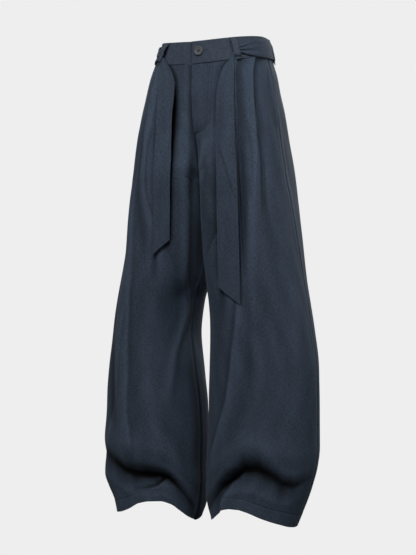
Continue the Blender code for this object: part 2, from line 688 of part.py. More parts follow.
def build_sash_hip(collection):
    """The tie belt's stretch round the back, from loop to loop, gathered at both front loops."""
    start = BELT_LOOPS[0].at - SASH_PAST_LOOP
    span = WAIST_TOTAL - start + BELT_LOOPS[1].at + SASH_PAST_LOOP
    parts = [s.part for s in SASH_STATIONS]

    def read(field, part):
        return float(smooth_through(parts, [getattr(s, field) for s in SASH_STATIONS], part)) * MM

    def rows(push):
        made = []
        for lane in np.linspace(0.0, 1.0, SASH_WIDTH_ROWS):
            row = []
            for part in np.linspace(0.0, 1.0, SASH_SPAN_COLUMNS):
                z = read("top", part) * (1 - lane) + read("low", part) * lane
                wave = 0.5 - 0.5 * math.cos(2 * math.pi * SASH_GATHERS * lane + 3 * part)
                along = start + span * part
                if along > WAIST_TOTAL / 2:
                    along -= WAIST_TOTAL
                x, y = waist_point(waist_line(z), along, push + read("gather", part) * wave)
                row.append(settled(x, y, z))
            made.append(row)
        return made
    stand = BAND_WALL / 2 + SASH_CLEAR + SASH_WALL
    cloth_wall("sash_hip", *both_sides(rows, stand, SASH_WALL), CLOTH_COLOUR, collection)


def build_tails(collection):
    for tail in TAILS:
        top = tail.stations[0].z * MM
        low = tail.stations[-1].z * MM

        def rows(push):
            made = []
            for share in np.linspace(0.0, 1.0, TAIL_ROWS):
                z = top + (low - top) * share ** TAIL_ROW_SPREAD
                width = by_height(tail.stations, "width", z) * MM
                stand = by_height(tail.stations, "stand", z) * MM
                ripple = by_height(tail.stations, "ripple", z) * MM
                middle = by_height(tail.stations, "middle", z) * MM
                row = []
                for lane in np.linspace(-0.5, 0.5, TAIL_COLUMNS):
                    tip = z - tail.slant * lane * float(ease(share, TAIL_SLANT_FROM, 1.0))
                    line = front_line(tail.leg, min(tip, -0.001))
                    wave = 0.5 + 0.5 * math.sin(2 * math.pi * TAIL_RIPPLES * lane + 5 * share)
                    place = line.length_at(middle) + width * lane
                    x, y = line.at(place, stand + ripple * wave + push)
                    row.append(settled(x, y, tip))
                made.append(row)
            return mirrored(made) if tail.leg == "right" else made
        cloth_wall(tail.name, *both_sides(rows, SASH_WALL, SASH_WALL), CLOTH_COLOUR, collection)


def button_place():
    """The button's frame: its back 0.3 mm off the waistband, its axis square to the cloth."""
    step = 0.006

    def on_band(along, z):
        x, y = waist_point(waist_line(z), along, BAND_WALL / 2)
        return np.array(settled(x, y, z))
    across = on_band(BUTTON_AT + step, BUTTON_Z) - on_band(BUTTON_AT - step, BUTTON_Z)
    up = on_band(BUTTON_AT, BUTTON_Z + step) - on_band(BUTTON_AT, BUTTON_Z - step)
    across /= np.linalg.norm(across)
    axis = np.cross(across, up)
    axis /= np.linalg.norm(axis)
    up = np.cross(axis, across)
    seat = on_band(BUTTON_AT, BUTTON_Z) + axis * BUTTON_STAND
    frame = Matrix.Identity(4)
    for row in range(3):
        frame[row][0] = across[row]
        frame[row][1] = up[row]
        frame[row][2] = axis[row]
        frame[row][3] = seat[row]
    return frame


def build_button(collection):
    """A turned disc with a raised rim and four holes, lying on the waistband."""
    radius = BUTTON_RADIUS
    profile = ((0.0, 0.0021), (0.60 * radius, 0.0021), (0.74 * radius, BUTTON_HEIGHT),
               (0.90 * radius, BUTTON_HEIGHT), (radius, 0.0021), (radius, 0.0009),
               (0.86 * radius, 0.0), (0.0, 0.0))
    mesh = bpy.data.meshes.new("button")
    shape = bmesh.new()
    points = [shape.verts.new((r, 0.0, h)) for r, h in profile]
    edges = [shape.edges.new(pair) for pair in zip(points[:-1], points[1:])]
    bmesh.ops.spin(shape, geom=points + edges, cent=(0, 0, 0), axis=(0, 0, 1), angle=2 * math.pi,
                   steps=BUTTON_SIDES, use_merge=True)
    bmesh.ops.remove_doubles(shape, verts=shape.verts, dist=0.00001)
    bmesh.ops.recalc_face_normals(shape, faces=shape.faces)
    shape.to_mesh(mesh)
    shape.free()
    mesh.shade_smooth()
    mesh.set_sharp_from_angle(angle=math.radians(40))
    button = bpy.data.objects.new("button", mesh)
    collection.objects.link(button)
    button.data.materials.append(material("button_plastic", BUTTON_COLOUR, 0.45))
    cutters = bpy.data.collections.new("cutters")
    bpy.context.scene.collection.children.link(cutters)
    button.matrix_world = button_place()
    bpy.context.view_layer.update()
    for index in range(4):
        angle = math.pi / 4 + index * math.pi / 2
        bpy.ops.mesh.primitive_cylinder_add(vertices=BUTTON_HOLE_SIDES, radius=BUTTON_HOLE_RADIUS,
                                            depth=BUTTON_RADIUS)
        cutter = bpy.context.object
        cutter.name = "button_hole_" + str(index + 1)
        cutter.location = (BUTTON_HOLE_SPREAD * math.cos(angle), BUTTON_HOLE_SPREAD * math.sin(angle), 0.001)
        cutter.parent = button
        cutter.hide_render = True
        cutter.display_type = "WIRE"
        for owner in cutter.users_collection:
            owner.objects.unlink(cutter)
        cutters.objects.link(cutter)
        cut = button.modifiers.new("hole_" + str(index + 1), "BOOLEAN")
        cut.operation = "DIFFERENCE"
        cut.solver = "EXACT"
        cut.object = cutter


def main():
    for old in list(bpy.data.objects):
        bpy.data.objects.remove(old, do_unlink=True)
    collection = bpy.data.collections.new(COLLECTION_NAME)
    bpy.context.scene.collection.children.link(collection)
    for leg in ("left", "right"):
        for name, walls in (("front_", front_walls(leg)), ("back_", back_walls(leg))):
            if leg == "right":
                walls = [mirrored(rows) for rows in walls]
            cloth_wall(name + leg, *walls, CLOTH_COLOUR, collection)
    build_waistband(collection)
    build_fly(collection)
    build_belt_loops(collection)
    build_sash_hip(collection)
    build_tails(collection)
    build_button(collection)


WAIST_TOTAL = waist_line(0.0).total
main()
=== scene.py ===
"""The look of the curved-leg pants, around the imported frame: cloth panels with their pleats, folds and
seams, the waistband with its loops, the tie belt, the stitching and the button.

Metres, +Z up. The origin is the centre of the waist opening, the front faces -Y and the wearer's
left is +X. A leg is worked out as if it were the wearer's left and mirrored for the right.
"""

import math
from collections import namedtuple
from functools import lru_cache

import bpy
import numpy as np
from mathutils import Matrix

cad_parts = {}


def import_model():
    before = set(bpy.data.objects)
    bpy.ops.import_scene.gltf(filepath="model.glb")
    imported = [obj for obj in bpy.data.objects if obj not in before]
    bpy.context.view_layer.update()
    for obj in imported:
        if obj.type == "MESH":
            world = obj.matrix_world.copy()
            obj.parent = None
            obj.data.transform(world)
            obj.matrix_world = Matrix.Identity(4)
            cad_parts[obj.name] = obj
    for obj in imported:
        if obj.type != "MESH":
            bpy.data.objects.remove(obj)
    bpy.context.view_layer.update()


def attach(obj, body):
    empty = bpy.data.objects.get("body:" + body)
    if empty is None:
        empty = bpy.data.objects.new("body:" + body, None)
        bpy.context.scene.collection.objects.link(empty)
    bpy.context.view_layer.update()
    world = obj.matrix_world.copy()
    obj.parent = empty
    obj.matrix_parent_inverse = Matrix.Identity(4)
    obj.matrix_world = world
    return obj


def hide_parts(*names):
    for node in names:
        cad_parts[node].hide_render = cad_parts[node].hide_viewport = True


MM = 0.001
LEGS = ("left", "right")


def table(kind, *rows):
    """A table's rows, each read by its kind's column names."""
    return tuple(kind(*row) for row in rows)


# Camera, from the photograph's view of the garment
VIEW_AZIMUTH = 28.0
VIEW_DISTANCE = 3.0
VIEW_HEIGHT = -0.508
VIEW_ASIDE = -0.0161
VIEW_LENS = 90.5

# The garment's own sizes, in metres like all that isn't in a table
HEM_Z = -1.030
HEM_LIFT_START = -0.880
BAND_HEIGHT = 0.048
WAIST_DIP = 0.015
WAIST_DIP_FADE = (-0.260, -0.040)
CLOTH = 0.0008
BAND_WALL = 0.0024
SASH_WALL = 0.0015
LOOP_WALL = 0.0015
LAP_GAP = 0.0003
RING_STEPS = 1440

# A pleat's reach and lift; its fold lies PLEAT_EDGE_ALONG reaches out from its middle
PLEAT_REACH = 0.0075
PLEAT_LIFT = 0.0042
PLEAT_EDGE_ALONG = 1.1

# The placket. It lies in a bed in the wearer's left front, which fades out at its edge and its end, and
# the front keeps free of wrinkles under it
FLY_LAP = 0.002
FLY_WIDTH = 0.046
FLY_TIP = 0.008
FLY_TOP_Z = -0.0486
FLY_BEND_Z = -0.172
FLY_END_Z = -0.204
FLY_STAND = 0.0013
FLY_BRIDGE = 0.008
FLY_BED = 0.0007
FLY_BED_EDGE = (0.0002, 0.0030)
FLY_BED_END = (FLY_END_Z - 0.001, FLY_END_Z + 0.004)
FLY_CALM = (0.046, 0.075)
FLY_CALM_END = (-0.200, -0.235)
FLY_ROWS = (0.0012, 0.0078)
FLY_DRAW = 0.00035
FLY_DRAW_WIDTH = 0.0011
FLY_COLUMNS = 56
FLY_STRAIGHT_ROWS = 56
FLY_BEND_ROWS = 40
FLY_MEAN_WIDTH = 0.05

# The pockets' openings in the side seams
POCKET_Z = (0.075, 0.190)
POCKET_LIFT = 0.0014
POCKET_LIFT_WIDTH = 0.012
POCKET_ROW = 0.006
FACING_REACH = 0.010
FACING_DEPTH = 0.0031
FACING_ROWS = 40
# Painted shade on the pocket's facing, which lies inside the opening
FACING_TONE = -0.3

# Seams and hems: a seam's sunk line and the allowance that stands up beside it, the step where the hem
# is doubled and how far its stitching draws it in
SEAM_SINK = 0.0011
SEAM_WIDTH = 0.0024
ALLOWANCE = 0.008
ALLOWANCE_STAND = 0.0005
ALLOWANCE_WIDTH = 0.0045
HEM_TURN = 0.028
HEM_STEP = 0.0003
HEM_DRAW = 0.0003
HEM_DRAW_WIDTH = 0.0016

# The waistband's two ends and the step by which one passes under the other; along the waist, plus is
# the wearer's left of the centre front
BAND_UNDERLAP = 0.030
BAND_OVERLAP = 0.003
BAND_STEP = (-0.024, -0.007)
BAND_WAVES = 12
BAND_COLUMNS = (150, 180)

# Belt loops, the button with its hole, and the thread
LOOP_WIDTH = 0.012
LOOP_TOP_Z = -0.0005
LOOP_SEAT = 0.00155
LOOP_LIE = 0.0009
LOOP_CROWN = 0.0002
LOOP_COLUMNS = 11
LOOP_ROWS = 46
BUTTON_AT = 0.0138
BUTTON_Z = -0.021
BUTTON_DEPTH = 0.0012
BUTTONHOLE = (0.0120, 0.0318)
HOLE_SPREAD = 0.0021
THREAD = 0.00042
STITCH_STEP = 0.0032
STITCH_STAND = 0.00020

# A piece's edges: how far in its first full line lies, the part of its wall over which it rounds, and
# what is left of the wall on the edge itself
EDGE_STEP = 0.0008
EDGE_ROUND = 0.6
EDGE_THIN = 0.30

# Sections of the garment, millimetres and degrees. out_ and in_ are a leg's outer and inner reach
# from the centre plane. fork is how far the two legs have parted: 0 one body, 1 two legs.
Section = namedtuple("Section", "z out_left out_right in_left in_right fork front back shift turn power")
SECTIONS = table(
    Section,
    (0, 113.5, 113.5, 0, 0, 0.00, 100, 98, 0, 0, 2.20),
    (-48, 126.5, 127.5, 0, 0, 0.04, 108, 104, 4, 0, 2.20),
    (-80, 136.5, 136.5, 0, 0, 0.12, 112, 112, 7, 0, 2.20),
    (-120, 144, 143, 0, 0, 0.25, 116, 122, 10, 0, 2.20),
    (-160, 152, 151, 0, 0, 0.38, 117, 127, 11, 0, 2.20),
    (-200, 157.5, 156, 0, 0, 0.55, 118, 130, 12, 0, 2.20),
    (-240, 164, 160.5, 0, 0, 0.75, 118, 130, 13, 0, 2.20),
    (-275, 170, 165, 0, 0, 0.90, 117, 128, 13, 0, 2.20),
    (-305, 175, 169, 0.3, 0.3, 1.00, 116, 126, 14, 0, 2.20),
    (-340, 182, 175, 1.2, 1.2, 1.00, 115, 121, 14, 1, 2.20),
    (-420, 197, 186, 4, 6, 1.00, 113, 112, 15, 2, 2.20),
    (-500, 210, 201, 9, 17, 1.00, 110, 106, 17, 4, 2.18),
    (-560, 221, 211, 11, 34, 1.00, 107, 102, 19, 6, 2.16),
    (-620, 231, 220, 12, 40, 1.00, 105, 100, 20, 7, 2.15),
    (-700, 241, 234, 12, 28, 1.00, 103, 98, 22, 8, 2.15),
    (-780, 243.5, 243.5, 12, 15, 1.00, 102, 98, 24, 8, 2.15),
    (-860, 244.5, 247, 10, 10, 1.00, 101, 98, 27, 8, 2.15),
    (-900, 241.5, 248.5, 10, 10, 1.00, 98, 96, 29, 8, 2.15),
    (-940, 232, 248, 9, 8, 1.00, 93, 93, 31, 8, 2.15),
    (-970, 223, 238, 8, 9, 1.00, 88, 90, 33, 8, 2.15),
    (-1000, 212.5, 224, 11, 12, 1.00, 83, 86, 35, 8, 2.15),
    (-1030, 202, 214, 20, 20, 1.00, 79, 82, 38, 8, 2.15),
)

# Where the front departs from those ovals, by height in millimetres: sink flattens the centre front
# between the pleats, square fills out the inner front of each leg where the two press together
FrontShape = namedtuple("FrontShape", "z sink square")
FRONT_SHAPES = table(
    FrontShape,
    (0, 0, 0.0), (-48, 11, 0.0), (-80, 17, 0.0), (-110, 20.5, 0.0),
    (-150, 22.5, 0.0), (-200, 22, 0.0), (-220, 19.5, 0.0),
    (-240, 15.5, 0.05), (-260, 9, 0.18), (-280, 2.5, 0.45),
    (-305, 0, 0.65), (-340, 0, 0.74), (-450, 0, 0.76),
    (-540, 0, 0.30), (-600, 0, 0.0), (-1030, 0, 0.0),
)
SINK_REACH = 0.080

# One knife pleat: along in pleat reaches, level in pleat lifts, then the soft groove it opens into
PleatColumn = namedtuple("PleatColumn", "along level open_place open_level")
PLEAT_COLUMNS = table(
    PleatColumn,
    (-2.00, -0.10, -1.00, 0.00), (-1.15, 0.12, -0.80, 0.24),
    (-0.10, 0.32, -0.68, 0.36), (0.96, 0.46, -0.56, 0.42),
    (1.12, 0.10, -0.38, 0.32), (0.98, -0.28, -0.18, 0.10),
    (0.40, -0.34, 0.04, -0.16), (-0.85, -0.34, 0.28, -0.42),
    (-1.02, -0.46, 0.44, -0.60), (-0.85, -0.58, 0.62, -0.68),
    (0.60, -0.58, 0.84, -0.54), (1.60, -0.44, 1.10, -0.34),
)
PleatStation = namedtuple("PleatStation", "z edge opened lift spread")
PLEATS = (
    table(
        PleatStation,
        (-48, 92.5, 0.00, 1.0, 15), (-73, 95.5, 0.00, 1.0, 15),
        (-124, 102.5, 0.03, 1.1, 15), (-182, 108, 0.30, 1.5, 17),
        (-210, 110.5, 0.56, 1.7, 19), (-240, 112.5, 0.80, 1.8, 20),
        (-290, 114.5, 1.00, 1.7, 20),
        (-410, 120, 1.00, 1.2, 20), (-580, 121, 1.00, 0.0, 20),
    ),
    table(
        PleatStation,
        (-48, 118, 0.00, 1.0, 12), (-73, 121, 0.00, 1.0, 12),
        (-124, 128.5, 0.03, 1.1, 12), (-182, 137.5, 0.30, 1.5, 15),
        (-210, 142, 0.56, 1.9, 16), (-240, 147, 0.80, 1.9, 17),
        (-290, 152, 1.00, 1.8, 18),
        (-410, 158, 1.00, 0.7, 18), (-580, 160, 1.00, 0.0, 18),
    ),
)
PLEAT_OPEN_Z = (-0.300, -0.600)
COLUMNS_BEFORE_PLEATS = 6
COLUMNS_BETWEEN_PLEATS = 2
COLUMNS_AFTER_PLEATS = 4
CENTRE_CROWDING = 1.6
PLAIN_SPLIT = 6
PLEAT_SPLIT = 4
PANEL_MIDDLE = 0.16
PANEL_ROWS = 264
HEM_ROWS = 28
PANEL_TOP_Z = -0.0440
FORK_Z = -0.304
SEAM_REACH = 0.020
HEM_CLOSE_Z = -0.982
BACK_COLUMNS = 104

# Long folds down a leg. around is the place round the leg: 0 inseam, 1 side seam by the front,
# 2 inseam again by the back. push is outward, millimetres.
LongFold = namedtuple("LongFold", "leg around_top around_low z_top z_low width push")
LONG_FOLDS = table(
    LongFold,
    ("left", 0.50, 0.26, -430, -900, 0.075, 4.5),
    ("left", 0.64, 0.40, -400, -880, 0.070, -1.5),
    ("left", 0.86, 0.76, -380, -900, 0.090, 3.0),
    ("left", 1.30, 1.36, -330, -930, 0.10, 4.5),
    ("left", 1.62, 1.55, -340, -930, 0.10, -4.0),
    ("right", 0.30, 0.30, -330, -880, 0.11, 3.0),
    ("right", 0.66, 0.50, -330, -900, 0.070, 4.0),
    ("right", 0.74, 0.62, -360, -900, 0.060, -4.0),
    ("right", 1.34, 1.30, -330, -930, 0.10, 4.5),
    ("right", 1.66, 1.58, -340, -930, 0.10, -4.0),
)
FOLD_FADE_IN = 0.30
FOLD_FADE_OUT = 0.75
CURL_ABOVE = 2.1
CURL_BELOW = 1.4

# Folds that run across a leg above its hem: places round the leg with the height there, how far the
# fold reaches above and below that line, and its push, all but the first in millimetres
CrossStation = namedtuple("CrossStation", "around z above below push")
CrossFold = namedtuple("CrossFold", "rounding stations")
CROSS_FOLDS = {
    "left": (
        CrossFold(3.0, table(
            CrossStation,
            (0.05, -1014, 24, 26, 0.0), (0.145, -1000, 32, 34, -5.5),
            (0.25, -982, 42, 48, -11.0), (0.335, -952, 46, 60, -15.0),
            (0.42, -920, 50, 70, -17.5), (0.48, -904, 54, 74, -18.0),
            (0.55, -900, 54, 72, -17.0), (0.61, -908, 46, 66, -15.0),
            (0.675, -921, 38, 58, -12.5), (0.745, -936, 32, 50, -11.0),
            (0.81, -938, 30, 44, -8.0), (0.88, -928, 30, 40, -3.0),
            (1.00, -915, 30, 40, 0.0),
        )),
        CrossFold(14.0, table(
            CrossStation,
            (0.14, -925, 50, 36, 0.0), (0.30, -888, 55, 40, 3.5),
            (0.50, -842, 60, 44, 5.0), (0.68, -862, 55, 40, 4.0),
            (0.90, -872, 50, 36, 0.0),
        )),
        CrossFold(6.0, table(
            CrossStation,
            (1.06, -915, 54, 44, 0.0), (1.30, -930, 56, 50, -8.0),
            (1.52, -916, 60, 56, -11.0), (1.76, -938, 56, 50, -7.0),
            (1.94, -950, 54, 44, 0.0),
        )),
    ),
    "right": (
        CrossFold(3.0, table(
            CrossStation,
            (0.01, -1008, 24, 26, 0.0), (0.10, -990, 32, 40, -7.0),
            (0.16, -976, 38, 48, -11.0), (0.205, -962, 42, 56, -14.0),
            (0.26, -950, 46, 64, -17.0), (0.32, -945, 54, 70, -18.5),
            (0.40, -944, 60, 74, -19.0), (0.48, -938, 60, 74, -18.5),
            (0.54, -927, 54, 70, -16.0), (0.61, -911, 46, 60, -12.0),
            (0.71, -896, 38, 50, -8.0), (0.84, -888, 32, 44, -3.0),
            (0.97, -885, 30, 40, 0.0),
        )),
        CrossFold(14.0, table(
            CrossStation,
            (0.08, -925, 50, 36, 0.0), (0.30, -868, 55, 40, 4.0),
            (0.50, -858, 60, 44, 5.0), (0.70, -846, 55, 40, 3.5),
            (0.94, -856, 50, 36, 0.0),
        )),
        CrossFold(6.0, table(
            CrossStation,
            (1.06, -935, 54, 44, 0.0), (1.28, -922, 56, 50, -9.0),
            (1.50, -936, 60, 56, -10.0), (1.74, -920, 56, 50, -7.0),
            (1.94, -930, 54, 44, 0.0),
        )),
        CrossFold(1.5, table(
            CrossStation,
            (0.19, -934, 14, 5, 0.0), (0.26, -957, 26, 8, -3.0),
            (0.315, -981, 32, 8, -4.0), (0.375, -991, 34, 8, -3.5),
            (0.43, -994, 30, 9, -2.0), (0.53, -989, 24, 9, 0.0),
        )),
    ),
}

# How far the hem arches up round each leg, millimetres
HemStation = namedtuple("HemStation", "around lift")
HEM_LIFTS = {
    "left": table(
        HemStation,
        (0.00, 16), (0.10, 16), (0.16, 19), (0.25, 33),
        (0.31, 43), (0.38, 48), (0.46, 48), (0.53, 44),
        (0.65, 31), (0.78, 19), (0.90, 10), (1.00, 7),
        (1.20, 14), (1.50, 22), (1.75, 26), (1.90, 25),
        (2.00, 16),
    ),
    "right": table(
        HemStation,
        (0.00, 7), (0.08, 17), (0.15, 31), (0.22, 45),
        (0.30, 51), (0.38, 50), (0.48, 44), (0.57, 31),
        (0.68, 20), (0.85, 13), (1.00, 10), (1.10, 22),
        (1.22, 28), (1.35, 27), (1.50, 20), (1.80, 14),
        (2.00, 7),
    ),
}

# Finer creases down a leg: before and after are the widths toward the inseam and away from it, as
# parts of the panel's width; each station is a height, the place round the leg and the push, mm
Crease = namedtuple("Crease", "leg before after stations")
CREASES = table(
    Crease,
    ("right", 0.018, 0.060, (
        (-300, 0.690, 0.0), (-350, 0.665, 1.6), (-407, 0.638, 2.6), (-492, 0.581, 3.2),
        (-619, 0.510, 3.6), (-704, 0.507, 3.6), (-789, 0.515, 3.2), (-852, 0.485, 2.2),
        (-888, 0.475, 0.0))),
    ("right", 0.014, 0.030, (
        (-560, 0.545, 0.0), (-620, 0.563, 1.8), (-716, 0.585, 2.0), (-770, 0.600, 0.0))),
    ("right", 0.030, 0.020, (
        (-740, 0.600, 0.0), (-790, 0.630, 1.2), (-858, 0.688, 1.6), (-890, 0.700, 0.0))),
    ("right", 0.050, 0.060, (
        (-640, 0.360, 0.0), (-700, 0.360, 1.2), (-790, 0.345, 1.8), (-850, 0.270, 2.0),
        (-895, 0.190, 1.5), (-940, 0.120, 0.0))),
    ("right", 0.080, 0.100, (
        (-320, 0.260, 0.0), (-380, 0.240, 2.0), (-480, 0.200, 2.4), (-600, 0.150, 0.0))),
    ("left", 0.016, 0.110, (
        (-420, 0.600, 0.0), (-480, 0.550, 2.2), (-560, 0.486, 3.6), (-615, 0.449, 4.0),
        (-676, 0.409, 4.0), (-747, 0.376, 3.8), (-810, 0.314, 3.2), (-852, 0.267, 2.6),
        (-900, 0.200, 1.2), (-945, 0.150, 0.0))),
    ("left", 0.050, 0.050, (
        (-330, 0.880, 0.0), (-420, 0.860, 1.2), (-520, 0.840, 1.5), (-700, 0.800, 1.0),
        (-820, 0.780, 0.0))),
    ("left", 0.090, 0.020, (
        (-896, 0.440, 0.0), (-912, 0.430, -2.5), (-934, 0.405, -4.5), (-950, 0.372, -5.5),
        (-976, 0.350, -6.0), (-992, 0.315, -5.5), (-1022, 0.275, -4.5), (-1031, 0.270, -4.0))),
)

# Folds of the fronts placed by their distance from the centre plane: half-widths toward it and away
# from it, then heights with that distance and the push, all in millimetres
GROOVES = table(
    Crease,
    ("left", 10, 14, (
        (-214, 27, 0.0), (-250, 28, 3.2), (-330, 29, 4.2), (-450, 30, 3.2), (-560, 33, 0.0))),
    ("left", 17, 12, (
        (-90, 68, 0.0), (-130, 67, -4.0), (-200, 70, -8.5), (-290, 76, -10.0), (-400, 78, -9.0),
        (-520, 80, -6.0), (-620, 83, 0.0))),
    ("left", 2.2, 15, (
        (-50, 96.5, -1.8), (-80, 99.5, -3.6), (-130, 107, -6.0), (-200, 114, -8.0), (-300, 119, -9.0),
        (-380, 124, -7.5), (-440, 127, -4.0), (-510, 130, 0.0))),
    ("left", 2.0, 13, (
        (-50, 121, -1.8), (-80, 125, -3.0), (-130, 132, -4.0), (-200, 144, -4.0), (-280, 154, -3.0),
        (-400, 162, 0.0))),
    ("left", 1.8, 5, ((-50, 130, -0.8), (-70, 133.5, -1.0), (-100, 139, -0.7), (-130, 144, 0.0))),
    ("left", 12, 16, (
        (-330, 136, 0.0), (-420, 141, 2.0), (-560, 150, 2.4), (-700, 158, 1.6), (-820, 160, 0.0))),
    ("right", 9, 15, (
        (-150, 14, 0.0), (-220, 15, 4.5), (-330, 17, 7.0), (-450, 24, 6.5), (-560, 40, 6.5),
        (-680, 54, 4.0), (-800, 56, 0.0))),
    ("right", 15, 14, (
        (-90, 46, 0.0), (-135, 47, -6.0), (-200, 49, -12.0), (-310, 51, -11.0), (-380, 53, -6.5),
        (-440, 54, -3.0), (-520, 55, 0.0))),
    ("right", 8, 11, (
        (-60, 77, 0.0), (-100, 76, -4.0), (-200, 76, -6.0), (-330, 75, -7.0), (-430, 77, -5.0),
        (-520, 80, 0.0))),
    ("right", 3.4, 8, ((-50, 4.5, -1.9), (-110, 4.5, -2.4), (-180, 4.5, -1.8), (-225, 4.5, 0.0))),
    ("left", 6, 7, ((-52, 34, -0.3), (-75, 30, -1.0), (-105, 26, -0.8), (-135, 24, 0.0))),
)

# Painted light and shade along the fronts, set out as the grooves are, the last value a share of the cloth's
# own colour: painted shade along the placket's edge, the crotch seam, folds and hollows, and painted light on
# ridges and on places that the lamps leave darker than the rest
PAINTED_FRONT_SHADING = table(
    Crease,
    ("right", 1.2, 3.2, (
        (-48, 2.6, -0.34), (-100, 2.6, -0.40), (-172, 2.6, -0.42), (-200, 2.0, -0.30),
        (-212, 1.0, 0.0))),
    ("right", 3.0, 5.0, ((-196, 0, 0.0), (-215, 0, -0.36), (-300, 0, -0.46), (-330, 0, 0.0))),
    ("left", 3.0, 3.0, ((-196, 0, 0.0), (-215, 0, -0.34), (-300, 0, -0.44), (-330, 0, 0.0))),
    ("right", 22, 13, (
        (-190, 14, 0.0), (-250, 9, 0.14), (-300, 6, 0.28), (-340, 7, 0.36), (-420, 11, 0.42),
        (-490, 24, 0.52), (-545, 33, 0.56), (-600, 44, 0.36), (-700, 44, 0.0))),
    ("right", 12, 15, (
        (-190, 42, 0.0), (-240, 43, -0.16), (-330, 36, -0.20), (-420, 38, -0.16), (-500, 42, 0.0))),
    ("left", 10, 14, ((-200, 24, 0.0), (-260, 24, 0.10), (-380, 26, 0.12), (-520, 30, 0.0))),
    ("left", 3.4, 2.6, ((-50, 37, -0.12), (-75, 31, -0.20), (-105, 27, -0.12), (-135, 25, 0.0))),
    ("left", 17, 6, (
        (-48, 78, -0.20), (-62, 70, -0.28), (-90, 65, -0.34), (-125, 64, -0.36), (-180, 65.5, -0.38),
        (-229, 68, -0.46), (-290, 73, -0.52), (-380, 74, -0.50), (-470, 76, -0.32), (-540, 78, 0.0))),
    ("left", 16, 16, ((-220, 46, 0.0), (-300, 48, -0.26), (-400, 50, -0.24), (-520, 52, 0.0))),
    ("left", 26, 4, (
        (-500, 112, 0.0), (-560, 111, -0.20), (-617, 105, -0.24), (-680, 97, -0.24), (-752, 88, -0.22),
        (-815, 69, -0.20), (-857, 55, -0.12), (-890, 45, 0.0))),
    ("right", 15, 18, ((-48, 30, -0.12), (-90, 32, -0.17), (-150, 32, -0.16), (-215, 34, 0.0))),
    ("right", 22, 14, (
        (-405, 10.9, 0.0), (-430, 12.1, 0.32), (-460, 14.7, 0.48), (-490, 18.8, 0.72),
        (-520, 24.9, 0.84), (-556, 46, 0.66), (-588, 56, 0.46), (-620, 62.4, 0.16), (-650, 62.4, 0.0))),
    ("right", 7, 5, (
        (-304.8, 4.4, 0.0), (-310, 4.1, -0.58), (-330, 4.4, -0.60), (-360, 4.8, -0.58),
        (-395, 6.4, -0.50), (-430, 9.8, -0.38), (-460, 13.6, -0.28), (-500, 20.2, 0.0))),
    ("left", 8, 6, ((-245, 34.7, 0.0), (-270, 35, -0.32), (-300, 16.6, -0.34), (-306, 6.7, 0.0))),
    ("left", 12, 8, (
        (-304, 38, 0.0), (-310, 36.4, -0.34), (-330, 35, -0.36), (-360, 34, -0.44), (-395, 33, -0.50),
        (-430, 31.9, -0.60), (-460, 28.1, -0.60), (-490, 26.1, -0.50), (-520, 26.1, -0.30),
        (-550, 27.8, 0.0))),
    ("left", 9, 18, (
        (-370, 51.1, 0.0), (-400, 51.9, -0.22), (-460, 53.9, -0.26), (-520, 54.9, -0.26),
        (-580, 59.6, -0.26), (-640, 62.4, -0.20), (-700, 65.2, 0.0))),
)
# Painted light and shade at the edges of the panels: strength, then the width or the run over which it fades,
# and the heights between which it comes in. Painted shade lies in the seam's sunk line, along the hem's
# stitching, by the inseam and on the inner leg, and painted light on the allowance beside the seam
SEAM_TONE = (-0.34, 0.0026)
ALLOWANCE_TONE = (0.13, 0.0040)
HEM_STITCH_TONE = (-0.15, 0.0018)
INSEAM_TONE = (-0.40, 0.006)
INSEAM_TONE_Z = (-0.560, -0.700)
INNER_TONE = -0.42
INNER_TONE_RUN = (0.014, 0.038)
INNER_TONE_Z = (-0.640, -0.760)
# Painted light on what stands out from the cloth round it and painted shade in what sinks, by relief: the
# tone's strength, the millimetres of relief that give it in full, and the reach of "round it" in steps across
# and down
RELIEF_PAINTED_SHADING = ((0.17, 0.32, 4.0, 1.2), (0.16, 1.6, 15.0, 4.0))
RELIEF_COLUMNS = 360
# Painted shade in the troughs over the hems, deepest where they sink furthest, and painted light on the flap
# below
TROUGH_TONE = {"left": -0.76, "right": -0.90}
TROUGH_DEPTH = 0.018
FLAP_TONE = 0.14
FLAP_TONE_Z = (-0.950, -0.990)
# Painted shadow on the front under and beside the tie belt's hanging ends, and how far it fades beside them
TAIL_PAINTED_SHADOW = -0.62
TAIL_SHADOW_FADES = (0.0046, 0.0034)
# Painted light and shade on the hanging ends' creases, by how far each stands out or sinks
TAIL_CREASE_TONE = 0.11
DARKEST_TONE = -0.62
# Painted light and shade on the waistband: painted light along its top edge and painted shade along its low
# edge, by shares of its height, painted shadow beside what covers it and painted shade beside the overlap
BAND_TOP_TONE = (0.10, 0.03)
BAND_LOW_TONE = (-0.16, 0.05)
LOOP_COVER_TONE = (-0.50, 0.0022)
TAIL_COVER_TONE = (-0.50, 0.0030)
LAP_TONE = (-0.55, 0.0018)

# Seeded waves that keep the cloth from lying dead smooth: length in metres, number, height in mm
SEED = 11
WAVES = ((0.16, 7, 0.50), (0.08, 9, 0.24), (0.04, 12, 0.10))
WAVES_FADE = (-0.060, -0.180)
BACK_WAVES_AT = 0.5
EDGE_CALM = 0.020

BeltLoop = namedtuple("BeltLoop", "name at lean foot_z bow")
BELT_LOOPS = table(
    BeltLoop,
    ("belt_loop_front_left", 0.0857, 0.005, -0.0478, 7.4),
    ("belt_loop_front_right", -0.0695, -0.013, -0.0478, 7.4),
    ("belt_loop_side_left", 0.205, 0.0, -0.0550, 4.8),
    ("belt_loop_side_right", -0.205, 0.0, -0.0550, 4.8),
    ("belt_loop_back", None, 0.0, -0.0550, 4.8),
)

SashStation = namedtuple("SashStation", "part top low")
SASH_STATIONS = table(
    SashStation,
    (0.00, -19, -33), (0.02, -18, -35), (0.06, -12, -42),
    (0.12, -6, -46.5), (0.22, -2.5, -47.6), (0.50, -2.5, -47.6),
    (0.78, -2.5, -47.6), (0.88, -6, -46.5), (0.94, -12, -42),
    (0.98, -18, -35), (1.00, -19, -33),
)
SASH_PAST_LOOP = 0.003
